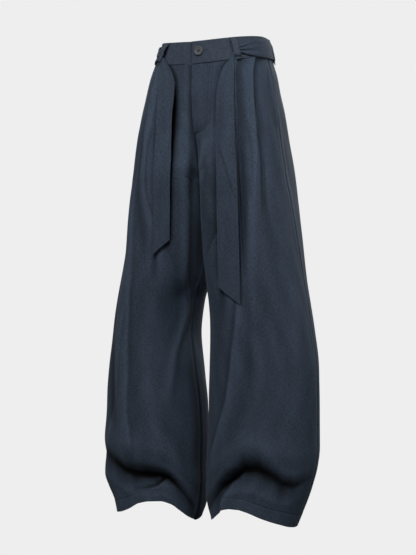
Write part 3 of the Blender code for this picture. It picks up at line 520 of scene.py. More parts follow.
# Folds that run out from a front loop: where each lies across the belt at the loop, half way and at its
# end (0 upper edge, 1 lower edge), how far it runs, metres, its half-width and its push, mm
SashFold = namedtuple("SashFold", "lane lane_middle lane_far reach width push")
SASH_FOLDS = table(
    SashFold,
    (0.30, 0.10, 0.02, 0.080, 0.090, 1.7),
    (0.44, 0.26, 0.15, 0.060, 0.055, -1.3),
    (0.58, 0.45, 0.33, 0.075, 0.085, 1.8),
    (0.73, 0.68, 0.60, 0.060, 0.060, -1.5),
    (0.88, 0.90, 0.86, 0.075, 0.080, 1.2),
)
# The belt stands clear of the band and fuller in its middle. Its ends have closer rows, and it is
# narrower by SASH_PINCH, from above and from below, under the side and back loops
SASH_CLEAR = 0.0006
SASH_FULLNESS = 0.0016
SASH_END = 0.16
SASH_PINCH = (0.0055, 0.0035)
SASH_PINCH_WIDTH = 0.016
SASH_LANES = 37
SASH_MEAN_WIDTH = 0.036
LEAN_AT_SASH = 0.55

TailStation = namedtuple("TailStation", "z middle width stand ripple")
TailCrease = namedtuple("TailCrease", "z_top z_low lane_top lane_low width push")
Tail = namedtuple("Tail", "name leg slant stations creases")
TAILS = (
    Tail("sash_tail_left", "left", 0.036, table(
        TailStation,
        (-33, 84.5, 4, 3.4, 0.6), (-40, 84.5, 7, 3.8, 1.0),
        (-48, 83.5, 11, 4.2, 1.4), (-62, 81.4, 20.5, 5.4, 1.6),
        (-90, 80.9, 29, 7.2, 1.0), (-125, 82, 34.5, 7.4, 0.7),
        (-180, 85.6, 38.3, 7.6, 0.5), (-229, 89.5, 40, 7.8, 0.5),
        (-290, 95, 41.5, 7.8, 0.6), (-380, 97.8, 46, 7.6, 0.6),
        (-470, 100.5, 47.7, 7.2, 0.5), (-545, 101.5, 47.5, 6.8, 0.4),
    ), table(
        TailCrease,
        (-60, -230, -0.10, -0.22, 0.14, -0.7), (-235, -340, -0.34, 0.30, 0.075, -1.5),
        (-235, -340, -0.16, 0.46, 0.110, 0.9), (-380, -520, 0.05, -0.20, 0.20, -0.7),
    )),
    Tail("sash_tail_right", "right", 0.030, table(
        TailStation,
        (-33, 76, 8, 3.4, 0.6), (-40, 73, 16, 3.8, 1.0),
        (-48, 69.5, 23, 4.2, 1.4), (-62, 63.6, 31, 5.4, 1.6),
        (-90, 57.6, 38, 7.2, 1.0), (-110, 56.9, 37.5, 7.4, 0.8),
        (-165, 59.8, 34, 7.6, 0.5), (-221, 60.3, 33.8, 7.8, 0.5),
        (-284, 57.6, 34.8, 7.8, 0.6), (-367, 58.5, 34, 7.4, 0.6),
        (-445, 61.4, 34.6, 7.0, 0.4),
    ), table(
        TailCrease,
        (-60, -200, 0.15, 0.05, 0.14, -0.7), (-250, -400, -0.15, 0.15, 0.20, -0.8),
        (-120, -240, -0.30, -0.20, 0.10, 0.6),
    )),
)
# Waves across a hanging end, where down its length its tip begins to slant, how much closer its rows lie
# at the top, and the millimetres in which a crease begins and ends
TAIL_RIPPLES = 1.5
TAIL_SLANT_FROM = 0.55
TAIL_GATHER = 1.3
TAIL_CREASE_FADE = 12
TAIL_ROWS = 190
TAIL_LANES = 27
TAIL_MEAN_WIDTH = 0.040

CLOTH_COLOUR = (0.0340, 0.0470, 0.0690)
# A lighter copy of the cloth's colour for the waistband and the loops: painted light for the stronger light
# at the waist
BAND_COLOUR = (0.0390, 0.0510, 0.0720)
THREAD_COLOUR = (0.0260, 0.0330, 0.0480)
DARK_THREAD_COLOUR = (0.0080, 0.0100, 0.0150)
BUTTON_COLOUR = (0.062, 0.066, 0.074)
# How long the threads' slubs and the mottling are across and down the cloth, and the twill's slant
WARP_SLUB = (0.0016, 0.0075)
WEFT_SLUB = (0.0060, 0.0018)
MOTTLE = (0.014, 0.050)
TWILL_SLANT = 63
TWILL_LINES = 190.0
BACKDROP = 0.855
FLOOR_Z = -1.07
AMBIENT = 0.12
LAMPS_AIM_Z = -0.45

# Flat size of what shows of each sheet of cloth, metres, its area where it isn't that of the
# rectangle, and what carries it
Sheet = namedtuple("Sheet", "width length area rests_on")

# Soft studio lamps: azimuth from the front toward the wearer's left and elevation in degrees,
# distance and size in metres, watts
Lamp = namedtuple("Lamp", "name azimuth elevation distance size power")
LAMPS = table(
    Lamp,
    ("key", 14, 44, 3.2, 0.9, 70),
    ("side", 84, 30, 3.2, 1.2, 28),
    ("left", -40, 25, 3.2, 1.4, 16),
    ("back", 172, 30, 3.2, 1.6, 62),
    ("behind_right", -135, 30, 3.2, 1.6, 34),
)


def smooth_through(xs, ys, x):
    """Monotone cubic through (xs, ys), xs rising, so that no value overshoots its neighbours."""
    xs = np.asarray(xs, dtype=float)
    ys = np.asarray(ys, dtype=float)
    step = np.diff(xs)
    slope = np.diff(ys) / step
    tangent = np.zeros(len(xs))
    for i in range(1, len(xs) - 1):
        if slope[i - 1] * slope[i] > 0:
            before = 2 * step[i] + step[i - 1]
            after = step[i] + 2 * step[i - 1]
            tangent[i] = (before + after) / (before / slope[i - 1] + after / slope[i])
    tangent[0] = slope[0]
    tangent[-1] = slope[-1]
    x = np.clip(x, xs[0], xs[-1])
    i = np.clip(np.searchsorted(xs, x) - 1, 0, len(xs) - 2)
    t = (x - xs[i]) / step[i]
    return ((2 * t ** 3 - 3 * t ** 2 + 1) * ys[i] + (t ** 3 - 2 * t ** 2 + t) * step[i] * tangent[i]
            + (3 * t ** 2 - 2 * t ** 3) * ys[i + 1] + (t ** 3 - t ** 2) * step[i] * tangent[i + 1])


def by_height(rows, field, z):
    """A column of a table whose rows run down from the waist, read at height z in metres."""
    return float(smooth_through([-row.z for row in rows], [getattr(row, field) for row in rows], -z / MM))


def by_place(rows, place, field, value):
    """A column of a table, read at a value of the column place, which rises down the rows."""
    return smooth_through([getattr(row, place) for row in rows], [getattr(row, field) for row in rows], value)


def ease(value, start, end):
    """0 at start, 1 at end, smooth between."""
    t = np.clip((value - start) / (end - start), 0.0, 1.0)
    return t * t * (3 - 2 * t)


def bell(distance, width):
    """1 at no distance, falling off smoothly to both sides."""
    return np.exp(-(distance / width) ** 2)


class Line:
    """A horizontal line of the garment, read by length: its points and outward directions."""

    def __init__(self, points):
        self.points = points
        gaps = np.linalg.norm(np.diff(points, axis=0), axis=1)
        self.lengths = np.concatenate(([0.0], np.cumsum(gaps)))
        self.total = self.lengths[-1]
        tangent = np.gradient(points, axis=0)
        tangent /= np.linalg.norm(tangent, axis=1)[:, None]
        self.out = np.stack([tangent[:, 1], -tangent[:, 0]], axis=1)

    def length_at(self, reach):
        """The length at which a front line stands a distance from the centre plane."""
        rising = int(np.argmax(self.points[:, 0])) + 1
        return float(np.interp(reach, self.points[:rising, 0], self.lengths[:rising]))

    def at(self, lengths, push):
        """Points at lengths along the line, pushed outward; an array of x, y rows."""
        lengths = np.atleast_1d(lengths)
        place = np.stack([np.interp(lengths, self.lengths, self.points[:, k]) for k in (0, 1)], axis=1)
        out = np.stack([np.interp(lengths, self.lengths, self.out[:, k]) for k in (0, 1)], axis=1)
        out /= np.linalg.norm(out, axis=1)[:, None]
        return place + out * np.broadcast_to(push, lengths.shape)[:, None]

    def bridged(self, lengths, push, reach):
        """Points at lengths, pushed square to the chord that reaches to either side of each."""
        along = self.at(lengths + reach, 0.0) - self.at(lengths - reach, 0.0)
        along /= np.linalg.norm(along, axis=1)[:, None]
        push = np.broadcast_to(push, lengths.shape)[:, None]
        return self.at(lengths, 0.0) + push * np.stack([along[:, 1], -along[:, 0]], axis=1)


def leg_ring(leg, z):
    """One leg's closed section from the inseam round the front, as if on the wearer's left."""
    def value(field):
        return by_height(SECTIONS, field, z)
    outer = value("out_" + leg) * MM
    fork = value("fork")
    inner = value("in_" + leg) * MM - outer * (1 - fork) / (1 + fork)
    centre = (outer + inner) / 2
    half_width = (outer - inner) / 2
    power = value("power")
    turn = math.radians(value("turn"))
    angle = np.linspace(0.0, 2 * math.pi, RING_STEPS + 1)
    cosine = np.cos(angle)
    sine = np.sin(angle)
    depth = np.where(sine > 0, value("front"), value("back")) * MM
    square = by_height(FRONT_SHAPES, "square", z)
    root = 2 / np.where((sine > 0) & (cosine > 0), power + square, power)
    across = -half_width * np.sign(cosine) * np.abs(cosine) ** root
    along = -depth * np.sign(sine) * np.abs(sine) ** root
    x = centre + across * math.cos(turn) - along * math.sin(turn)
    y = -value("shift") * MM + across * math.sin(turn) + along * math.cos(turn)
    sink = by_height(FRONT_SHAPES, "sink", z) * MM
    return x, y + np.where(sine > 0, sink * np.exp(-(x / SINK_REACH) ** 4), 0.0)


def trimmed(x, y):
    """The stretch of a ring on its own side of the centre plane."""
    keep = x >= 0.0
    first = int(np.argmax(keep))
    last = len(x) - 1 - int(np.argmax(keep[::-1]))
    points = list(zip(x[first:last + 1], y[first:last + 1]))

    def on_plane(k):
        share = x[k] / (x[k] - x[k + 1])
        return 0.0, y[k] + share * (y[k + 1] - y[k])
    if first > 0:
        points.insert(0, on_plane(first - 1))
    if last < len(x) - 1:
        points.append(on_plane(last))
    return Line(np.array(points))


@lru_cache(maxsize=None)
def front_line(leg, z):
    """A front's line at height z, from the centre front or the inseam to the side seam."""
    x, y = leg_ring(leg, z)
    half = len(x) // 2
    return trimmed(x[:half + 1], y[:half + 1])


@lru_cache(maxsize=None)
def back_line(leg, z):
    """A back's line at height z, from the side seam to the centre back or the inseam."""
    x, y = leg_ring(leg, z)
    half = len(x) // 2
    return trimmed(x[half:], y[half:])


@lru_cache(maxsize=None)
def waist_line(z):
    """The whole waist at height z from centre back round the wearer's right, front and left."""
    x, y = leg_ring("left", z)
    keep = x >= 0.0
    left = np.stack([x[keep], y[keep]], axis=1)
    right = left[::-1] * (-1, 1)
    centre_front = np.array([[0.0, left[0, 1]]])
    return Line(np.concatenate([right, centre_front, left]))


def waist_near(z):
    """The waist's line at the nearest quarter of a millimetre."""
    return waist_line(round(z / MM * 4) * MM / 4)


def front_near(leg, z):
    """A front's line at the nearest millimetre."""
    return front_line(leg, round(z / MM) * MM)


def pleat_columns(line, z):
    """Lengths and pushes of a front panel's guide columns at height z."""
    lengths, pushes = [], []
    last = last_push = 0.0
    for index, stations in enumerate(PLEATS):
        opened = by_height(stations, "opened", z)
        reach = PLEAT_REACH * (1 - opened)
        spread = by_height(stations, "spread", z) * MM * opened
        lift = by_height(stations, "lift", z) * PLEAT_LIFT
        middle = line.length_at(by_height(stations, "edge", z) * MM) - PLEAT_EDGE_ALONG * reach
        group = [middle + reach * c.along + spread * c.open_place for c in PLEAT_COLUMNS]
        first = 0 if index == 0 else 1
        count = COLUMNS_BEFORE_PLEATS if index == 0 else COLUMNS_BETWEEN_PLEATS
        for step in range(count):
            share = (step + first) / (count + first)
            lengths.append(last + (group[0] - last) * (share if index else share ** CENTRE_CROWDING))
            pushes.append(last_push * (1 - share) + PLEAT_COLUMNS[0].level * lift * (1 - opened) * share)
        lengths.extend(group)
        pushes.extend(lift * (c.level * (1 - opened) + c.open_level * opened) for c in PLEAT_COLUMNS)
        last = group[-1]
        last_push = pushes[-1]
    for step in range(COLUMNS_AFTER_PLEATS):
        share = (step + 1) / COLUMNS_AFTER_PLEATS
        lengths.append(last + (line.total - last) * share)
        pushes.append(last_push * (1 - share) ** 2)
    even = np.linspace(0.0, line.total, len(lengths))
    loosened = ease(z, *PLEAT_OPEN_Z)
    return np.array(lengths) * (1 - loosened) + even * loosened, np.array(pushes)


def column_places():
    """Where the fine columns lie between a front's guide columns."""
    pleat = [PLEAT_SPLIT] * (len(PLEAT_COLUMNS) - 1)
    counts = ([PLAIN_SPLIT] * COLUMNS_BEFORE_PLEATS + pleat + [PLAIN_SPLIT] * (COLUMNS_BETWEEN_PLEATS + 1)
              + pleat + [PLAIN_SPLIT] * COLUMNS_AFTER_PLEATS)
    places = [guide + np.arange(count) / count for guide, count in enumerate(counts)]
    return np.concatenate(places + [[len(counts)]])


def rounded(values, places):
    """Guide values read at places between them by a smooth curve that passes through each."""
    padded = np.concatenate(([2 * values[0] - values[1]], values, [2 * values[-1] - values[-2]]))
    k = np.clip(places.astype(int), 0, len(values) - 2)
    t = places - k
    a, b, c, d = (padded[k + step] for step in range(4))
    return 0.5 * (2 * b + (c - a) * t + (2 * a - 5 * b + 4 * c - d) * t ** 2
                  + (3 * b - a - 3 * c + d) * t ** 3)


def waist_dip(x, y, z):
    """How far the waist sinks toward the centre front, where the top edge dips."""
    facing = np.maximum(0.0, -y / np.hypot(x, y))
    return -WAIST_DIP * facing ** 1.4 * ease(z, *WAIST_DIP_FADE)


def hem_lift(leg, around, z):
    """The hem arches up between its low corners, which lie by the inseam and the side seam."""
    return by_place(HEM_LIFTS[leg], "around", "lift", around) * ease(z, HEM_LIFT_START, HEM_Z) * MM


def fold_share(gap, above, below, rounding):
    """1 on a cross fold's line. Above it the cloth curls in slowly, below it hangs nearly straight."""
    run = 1 - (np.hypot(gap, rounding) - rounding) / np.where(gap > 0, above, below)
    return np.clip(run, 0, 1) ** np.where(gap > 0, CURL_ABOVE, CURL_BELOW)


def large_folds(leg, around, z):
    """The large folds of the solids: how far they move the cloth out."""
    depth = z / MM
    push = np.zeros_like(around)
    for fold in LONG_FOLDS:
        share = (depth - fold.z_top) / (fold.z_low - fold.z_top)
        if fold.leg != leg or share <= 0 or share >= 1:
            continue
        centre = fold.around_top + (fold.around_low - fold.around_top) * share
        window = ease(share, 0.0, FOLD_FADE_IN) * (1 - ease(share, FOLD_FADE_OUT, 1.0))
        push += fold.push * window * bell(around - centre, fold.width)
    for fold in CROSS_FOLDS[leg]:
        inside = (around > fold.stations[0].around) & (around < fold.stations[-1].around)
        line, above, below, out = (by_place(fold.stations, "around", field, around)
                                   for field in ("z", "above", "below", "push"))
        push += np.where(inside, out * fold_share(depth - line, above, below, fold.rounding), 0.0)
    return push * MM


def creased(creases, leg, z, gaps):
    """How far creases move a leg's cloth at height z, one side of each wider than the other. gaps
    gives the distances from a crease's place."""
    depth = -z / MM
    push = 0.0
    for crease in creases:
        heights, places, pushes = np.array(crease.stations, dtype=float).T
        if crease.leg != leg or not -heights[0] < depth < -heights[-1]:
            continue
        gap = gaps(float(smooth_through(-heights, places, depth)))
        out = float(smooth_through(-heights, pushes, depth))
        push = push + out * bell(gap, np.where(gap < 0, crease.before, crease.after))
    return push * MM


def fine_creases(leg, around, z):
    """The creases placed round the leg."""
    return creased(CREASES, leg, z, lambda place: around - place)


def front_grooves(leg, line, lengths, z, grooves=GROOVES):
    """The folds placed by distance from the centre plane, along a front's row; with the painted shading table
    as grooves, the painted light and shade placed the same way.
    """
    return creased(grooves, leg, z, lambda place: (lengths - line.length_at(place * MM)) / MM)


def fly_bed(leg, along, z):
    """How far the wearer's left front sinks under the placket, so that the placket lies flush."""
    if leg != "left":
        return 0.0
    under = ease(fly_edge(max(z, FLY_END_Z)) - along, *FLY_BED_EDGE)
    return -FLY_BED * under * float(ease(z, *FLY_BED_END))


def make_wrinkles(leg):
    """The seeded waves of one leg, mostly along it."""
    rng = np.random.default_rng(SEED + (leg == "right"))
    waves = []
    for size, count, amount in WAVES:
        for _ in range(count):
            tilt = rng.normal(0.0, 0.55)
            waves.append((2 * math.pi * math.cos(tilt) / size, 2 * math.pi * math.sin(tilt) / size * 0.6,
                          rng.uniform(0, 2 * math.pi), amount * rng.uniform(0.5, 1.0)))
    return waves


WRINKLES = {leg: make_wrinkles(leg) for leg in LEGS}
COLUMN_PLACES = column_places()


def small_wrinkles(leg, along, z):
    """The waves at lengths along a row, metres."""
    push = np.zeros_like(along)
    for across, down, start, amount in WRINKLES[leg]:
        push += amount * np.sin(across * along + down * z + start)
    return push * MM * ease(z, *WAVES_FADE)


def seam_roll(distance):
    """The cloth sinks into a pressed-open seam and stands a little over its allowance."""
    stand = ALLOWANCE_STAND * bell(distance - ALLOWANCE, ALLOWANCE_WIDTH)
    return stand - SEAM_SINK * bell(distance, SEAM_WIDTH)


def pocket_gap(distance, z):
    """The front's edge stands off along the pocket opening in the side seam."""
    start, end = POCKET_Z
    opening = float(ease(-z, start, start + 0.020) * (1 - ease(-z, end - 0.012, end)))
    return POCKET_LIFT * opening * bell(distance, POCKET_LIFT_WIDTH)


def hem_turn(z):
    """The hem is doubled below its stitching, which is drawn in a little."""
    height = z - HEM_Z - HEM_TURN
    return HEM_STEP * float(ease(-height, 0.0004, 0.0040)) - HEM_DRAW * float(bell(height, HEM_DRAW_WIDTH))


def seam_shift(line_of, leg, z, end):
    """How far a panel's edge moves to meet the other leg's panel in the centre seam."""
    if z <= FORK_Z:
        return 0.0
    other = LEGS[leg == "left"]
    return float(line_of(other, z).points[end, 1] - line_of(leg, z).points[end, 1]) / 2


def seamed(leg, points, z, around, shift):
    """A panel's row of x, y to x, y, z, with the centre seam closed and the hem's arch."""
    x = np.maximum(points[:, 0], 0.0)
    if z > FORK_Z:
        x = np.where((around <= 0.0) | (around >= 2.0), 0.0, x)
    y = points[:, 1] + shift * bell(x, SEAM_REACH)
    return settled(np.stack([x, y], axis=1), z + hem_lift(leg, around, z))


def wall_inside(points):
    """Points a wall's thickness inside a row."""
    step = np.diff(points, axis=0)
    step /= np.maximum(np.linalg.norm(step, axis=1), 1e-9)[:, None]
    along = np.concatenate([step[:1], step[:-1] + step[1:], step[-1:]])
    along /= np.maximum(np.linalg.norm(along, axis=1), 1e-9)[:, None]
    return points - CLOTH * np.stack([along[:, 1], -along[:, 0]], axis=1)


def panel_rows():
    """Heights of a panel's rows, closer together where the cloth folds over the hem."""
    above = np.linspace(PANEL_TOP_Z, HEM_CLOSE_Z, PANEL_ROWS - HEM_ROWS + 1)[:-1]
    return np.concatenate([above, np.linspace(HEM_CLOSE_Z, HEM_Z, HEM_ROWS)])


def softened(grid, across, down):
    """A grid blurred along its rows and down its columns; across and down count grid steps."""
    for axis, reach in ((1, across), (0, down)):
        steps = np.arange(-int(3 * reach), int(3 * reach) + 1)
        weights = bell(steps, 1.4142 * reach)
        weights /= weights.sum()
        ends = [(0, 0), (0, 0)]
        ends[axis] = (len(steps) // 2, len(steps) // 2)
        padded = np.pad(grid, ends, mode="edge")
        grid = np.apply_along_axis(lambda run: np.convolve(run, weights, mode="valid"), axis, padded)
    return grid


def relief_painted_shading(u, push, side):
    """Painted light on what stands out and painted shade in the hollows: fine edges, then broad folds. Rows
    are set against each other from the side seam, column side."""
    widest = max(row[-1] - row[0] for row in u)
    start = 0.0 if side == 0 else -widest
    places = [row[side] + np.linspace(start, start + widest, RELIEF_COLUMNS) for row in u]
    even = np.array([np.interp(place, row, out) for place, row, out in zip(places, u, push)])
    tone = sum(strength * np.clip((even - softened(even, across, down)) / (relief * MM), -1, 1)
               for strength, relief, across, down in RELIEF_PAINTED_SHADING)
    return np.array([np.interp(row, place, run) for row, place, run in zip(u, places, tone)])


def tinge(tone, distance):
    """A tone of given strength and width at a distance from its middle."""
    strength, width = tone
    return strength * bell(distance, width)


def edge_tone(leg, around, z, from_side, from_inseam):
    """Painted shade in the troughs over the hem, in the seams, along the hem's stitching, by the inseam and
    on the inner leg; painted light on the allowance and on the flap below the troughs.
    """
    sunk = np.clip(-large_folds(leg, around, z) / TROUGH_DEPTH - 0.03, 0, 1)
    trough = TROUGH_TONE[leg] * sunk ** 0.7
    seam = tinge(SEAM_TONE, from_side) + tinge(ALLOWANCE_TONE, from_side - ALLOWANCE - 0.0005)
    flap = FLAP_TONE * float(ease(z, *FLAP_TONE_Z))
    inner = tinge(INSEAM_TONE, from_inseam) * float(ease(z, *INSEAM_TONE_Z))
    inner = inner + INNER_TONE * (1 - ease(from_inseam, *INNER_TONE_RUN)) * float(ease(z, *INNER_TONE_Z))
    return trough + flap + inner + seam + tinge(HEM_STITCH_TONE, z - HEM_Z - HEM_TURN)


def tail_at(tail, line, z):
    """Where the middle of a hanging end lies along a front's line at height z, and its width there."""
    middle, width = (by_height(tail.stations, field, z) * MM for field in ("middle", "width"))
    return line.length_at(middle), width


def tail_shadow(leg, line, lengths, z):
    """Painted shadow of the tie belt's hanging end on the front: 1 where the end covers it, fading out beside
    it and below its tip.
    """
    tail = TAILS[LEGS.index(leg)]
    if z > tail.stations[0].z * MM:
        return np.zeros_like(lengths)
    middle, width = tail_at(tail, line, z)
    beside = np.maximum(np.abs(lengths - middle) - width / 2, 0.0)
    tip = tail.stations[-1].z * MM - tail.slant * np.clip((lengths - middle) / width, -0.5, 0.5)
    fade = np.where(lengths < middle, *TAIL_SHADOW_FADES)
    return bell(beside, fade) * ease(z, tip - 0.006, tip + 0.003)


Panel = namedtuple("Panel", "outer inner u v tone")


def front_row(leg, line, z):
    """A front's row at height z: lengths along it, places round the leg, push and tone."""
    lengths, pushes = (rounded(guides, COLUMN_PLACES) for guides in pleat_columns(line, z))
    around = np.clip(lengths / line.total, 0, 1)
    edge = np.minimum(lengths, line.total - lengths)
    push = (pushes + large_folds(leg, around, z) + fine_creases(leg, around, z)
            + front_grooves(leg, line, lengths, z) + fly_bed(leg, lengths, z))
    flat = (1 - ease(lengths, *FLY_CALM)) * (1 - float(ease(z, *FLY_CALM_END)))
    push = push + small_wrinkles(leg, lengths - line.total, z) * ease(edge, 0.0, EDGE_CALM) * (1 - flat)
    push = push + seam_roll(edge) * (1 - flat) + hem_turn(z) + pocket_gap(line.total - lengths, z)
    # Painted light and shade from the table, painted shadow under the hanging end, and the painted shading at
    # the panel's edges
    tone = front_grooves(leg, line, lengths, z, PAINTED_FRONT_SHADING) / MM + TAIL_PAINTED_SHADOW * tail_shadow(leg, line, lengths, z)
    return lengths, around, push, tone + edge_tone(leg, around, z, line.total - lengths, lengths)


def back_row(leg, line, z):
    """A back's row at height z, from the side seam to the centre back or the inseam."""
    share = np.linspace(0.0, 1.0, BACK_COLUMNS)
    lengths = share * line.total
    around = 1 + share
    edge = np.minimum(share, 1 - share) * line.total
    push = large_folds(leg, around, z) + fine_creases(leg, around, z)
    push = push + small_wrinkles(leg, lengths + BACK_WAVES_AT, z) * ease(edge, 0.0, EDGE_CALM)
    push = push + seam_roll(edge) + hem_turn(z) - pocket_gap(lengths, z)
    return lengths, around, push, edge_tone(leg, around, z, lengths, (1 - share) * line.total)


def leg_panel(leg, line_of, row_of, centre):
    """A front or a back from its rows. centre is the column of its centre seam and its inseam."""
    outer, inner, us, vs, pushes, tones = [], [], [], [], [], []
    for z in panel_rows():
        line = line_of(leg, z)
        lengths, around, push, tone = row_of(leg, line, z)
        row = line.at(lengths, push)
        shift = seam_shift(line_of, leg, z, centre)
        outer.append(seamed(leg, row, z, around, shift))
        inner.append(seamed(leg, wall_inside(row), z, around, shift))
        if centre == 0:
            run = np.concatenate(([0.0], np.cumsum(np.linalg.norm(np.diff(row, axis=0), axis=1))))
            us.append(run - run[-1] + PANEL_MIDDLE)
        else:
            us.append(lengths - PANEL_MIDDLE)
        vs.append(np.full(len(lengths), z))
        pushes.append(push)
        tones.append(tone)
    # Painted light on ridges and painted shade in hollows, on top of the row's own painted shading
    tones = relief_painted_shading(us, pushes, -1 - centre) + tones
    return mirrored_if(leg, Panel(*(np.array(rows) for rows in (outer, inner, us, vs, tones))))


def pocket_facing(leg):
    """The pocket's facing, just inside the opening in the side seam."""
    run = np.linspace(0.0, FACING_REACH, 7)
    points = []
    for z in np.linspace(0.010 - POCKET_Z[0], -POCKET_Z[1] - 0.006, FACING_ROWS):
        front, back = front_line(leg, z), back_line(leg, z)
        before = front.at(front.total - run[::-1], -FACING_DEPTH)
        points.append(settled(np.concatenate([before, back.at(run[1:], -FACING_DEPTH)]), z))
    return mirrored_if(leg, strip(points, CLOTH, 1.0, FACING_TONE))


def mirrored_if(leg, panel):
    """A panel as it is, or for the wearer's right its mirror image, its columns turned round so that
    faces point out."""
    if leg == "left":
        return panel
    outer, inner, u, v, tone = (grid[:, ::-1] for grid in panel)
    return Panel(outer * (-1, 1, 1), inner * (-1, 1, 1), -u, v, tone)


def placed(name, data):
    """An object with its data, linked to the scene."""
    made = bpy.data.objects.new(name, data)
    bpy.context.scene.collection.objects.link(made)
    return made


def cloth_shell(name, panel, finish):
    """A closed wall of cloth between a panel's outer and inner rows, with its flat lie as UVs."""
    rows, columns = panel.u.shape
    index = np.arange(rows * columns).reshape(rows, columns)
    back = rows * columns
    a, b, c, d = index[:-1, :-1], index[1:, :-1], index[1:, 1:], index[:-1, 1:]
    faces = [np.stack([a, b, c, d], axis=-1).reshape(-1, 4),
             np.stack([a, d, c, b], axis=-1).reshape(-1, 4) + back]
    for edge in (index[0, ::-1], index[-1], index[:, 0], index[::-1, -1]):
        faces.append(np.stack([edge[:-1], edge[:-1] + back, edge[1:] + back, edge[1:]], axis=-1))
    faces = np.concatenate(faces)
    points = np.concatenate([panel.outer.reshape(-1, 3), panel.inner.reshape(-1, 3)])
    mesh = bpy.data.meshes.new(name)
    mesh.vertices.add(len(points))
    mesh.vertices.foreach_set("co", points.astype(np.float32).ravel())
    mesh.loops.add(faces.size)
    mesh.loops.foreach_set("vertex_index", faces.astype(np.int32).ravel())
    mesh.polygons.add(len(faces))
    mesh.polygons.foreach_set("loop_start", np.arange(0, faces.size, 4, dtype=np.int32))
    mesh.update(calc_edges=True)
    flat = np.stack([panel.u.ravel(), panel.v.ravel()], axis=1)
    flat = np.concatenate([flat, flat])
    # The tone attribute carries the panel's painted light and shade
    tone = mesh.attributes.new("tone", "FLOAT", "POINT")
    tone.data.foreach_set("value", np.tile(panel.tone.ravel(), 2).astype(np.float32))
    layer = mesh.uv_layers.new(name="flat")
    layer.data.foreach_set("uv", flat[faces.ravel()].astype(np.float32).ravel())
    mesh.shade_smooth()
    mesh.set_sharp_from_angle(angle=math.radians(60))
    mesh.materials.append(finish)
    return placed(name, mesh)


def waist_points(line, along, push):
    """Points of the waist, along from the centre front (wearer's left is plus)."""
    return line.at(line.total / 2 + np.atleast_1d(along) * line.total / WAIST_TOTAL, push)


def settled(points, z):
    """Rows of x, y at heights z to x, y, z with the waist's dip."""
    x, y = points[:, 0], points[:, 1]
    return np.stack([x, y, z + waist_dip(x, y, z)], axis=1)


def grid_normals(points):
    """Unit normals of a grid of points, rows running down and columns to the wearer's left."""
    down = np.gradient(points, axis=0)
    across = np.gradient(points, axis=1)
    out = np.cross(down, across)
    return out / np.maximum(np.linalg.norm(out, axis=2), 1e-12)[..., None]


def strip(points, wall, thin=1.0, tone=0.0):
    """A panel from the grid of its middle surface; thin scales the wall from place to place."""
    points = np.asarray(points, dtype=float)
    half = grid_normals(points) * wall / 2 * np.broadcast_to(thin, points.shape[:2])[..., None]
    gaps = np.linalg.norm(np.diff(points, axis=1), axis=2)
    run = np.concatenate([np.zeros((len(points), 1)), np.cumsum(gaps, axis=1)], axis=1)
    down = np.linalg.norm(np.diff(points, axis=0), axis=2)
    fall = np.concatenate([np.zeros((1, points.shape[1])), np.cumsum(down, axis=0)])
    return Panel(points + half, points - half, run - run[:, [run.shape[1] // 2]], -fall,
                 np.broadcast_to(tone, points.shape[:2]).astype(float))


def thinned(distance, wall):
    """What is left of a wall at a distance from its edge, which is rounded, not square."""
    inward = np.clip(distance / (EDGE_ROUND * wall), 0, 1)
    return EDGE_THIN + (1 - EDGE_THIN) * np.sqrt(1 - (1 - inward) ** 2)


def rolled(count, length, wall):
    """Thinning toward both ends of a piece's width."""
    share = np.linspace(0.0, 1.0, count)
    return thinned(np.minimum(share, 1 - share) * length, wall)


def edged(count, length, edge=EDGE_STEP):
    """Shares 0 to 1, closer together near both ends."""
    inner = np.linspace(edge / length, 1 - edge / length, count - 4)
    return np.concatenate([[0, 0.4 * edge / length], inner, [1 - 0.4 * edge / length, 1]])


def band_panel(start, end, columns, sink, seed):
    """A waistband piece from start to end along the waist, sunk by sink where it passes under."""
    rng = np.random.default_rng(seed)
    waves = [(rng.uniform(60, 240), rng.uniform(-60, 60), rng.uniform(0, 6.3), rng.uniform(0.05, 0.16))
             for _ in range(BAND_WAVES)]
    shares = np.concatenate([[0, 0.012, 0.03, 0.055], np.linspace(0.09, 0.91, 20), [0.945, 0.97, 0.988, 1]])
    along = np.linspace(start, end, columns)
    along[[1, -2]] = along[0] + 0.0010, along[-1] - 0.0010
    points = []
    for share in shares:
        z = -BAND_HEIGHT * share
        wave = sum(a * np.sin(f * along + g * z + s) for f, g, s, a in waves) * MM
        wave = wave * ease(share, 0.0, 0.2) * ease(1 - share, 0.0, 0.2)
        points.append(settled(waist_points(waist_line(z), along, wave - sink(along)), z))
    rim = np.minimum(shares, 1 - shares)[:, None] * BAND_HEIGHT
    side = np.minimum(along - along[0], along[-1] - along)[None, :]
    return strip(points, BAND_WALL, thinned(np.minimum(rim, side), BAND_WALL),
                 [band_tone(along, share) for share in shares])


def band_tone(along, share):
    """Painted shadow under and beside the loops and the belt's hanging ends, painted shade along the low edge
    and beside the overlap, and painted light on the top edge.
    """
    tone = tinge(BAND_TOP_TONE, share) + tinge(BAND_LOW_TONE, share - 1)
    for loop in BELT_LOOPS:
        if loop.at is not None:
            beside = np.maximum(np.abs(along - loop.at - loop.lean * share) - LOOP_WIDTH / 2, 0.0)
            tone = tone + tinge(LOOP_COVER_TONE, beside)
    z = -BAND_HEIGHT * share
    for tail in TAILS:
        if z < tail.stations[0].z * MM:
            side = 1 if tail.leg == "left" else -1
            middle, width = tail_at(tail, front_near(tail.leg, z), z)
            beside = np.maximum(np.abs(side * along - middle) - width / 2, 0.0)
            tone = tone + tinge(TAIL_COVER_TONE, beside)
    lap = tinge(LAP_TONE, along + BAND_OVERLAP + 0.0012) * (along < -BAND_OVERLAP)
    return np.maximum(tone, DARKEST_TONE) + lap


def fly_edge(z):
    """How far the placket reaches from the centre front at a height."""
    bend = float(np.clip((z - FLY_BEND_Z) / (FLY_END_Z - FLY_BEND_Z), 0, 1))
    return FLY_TIP + (FLY_WIDTH - FLY_TIP) * math.sqrt(max(0.0, 1 - bend ** 2))


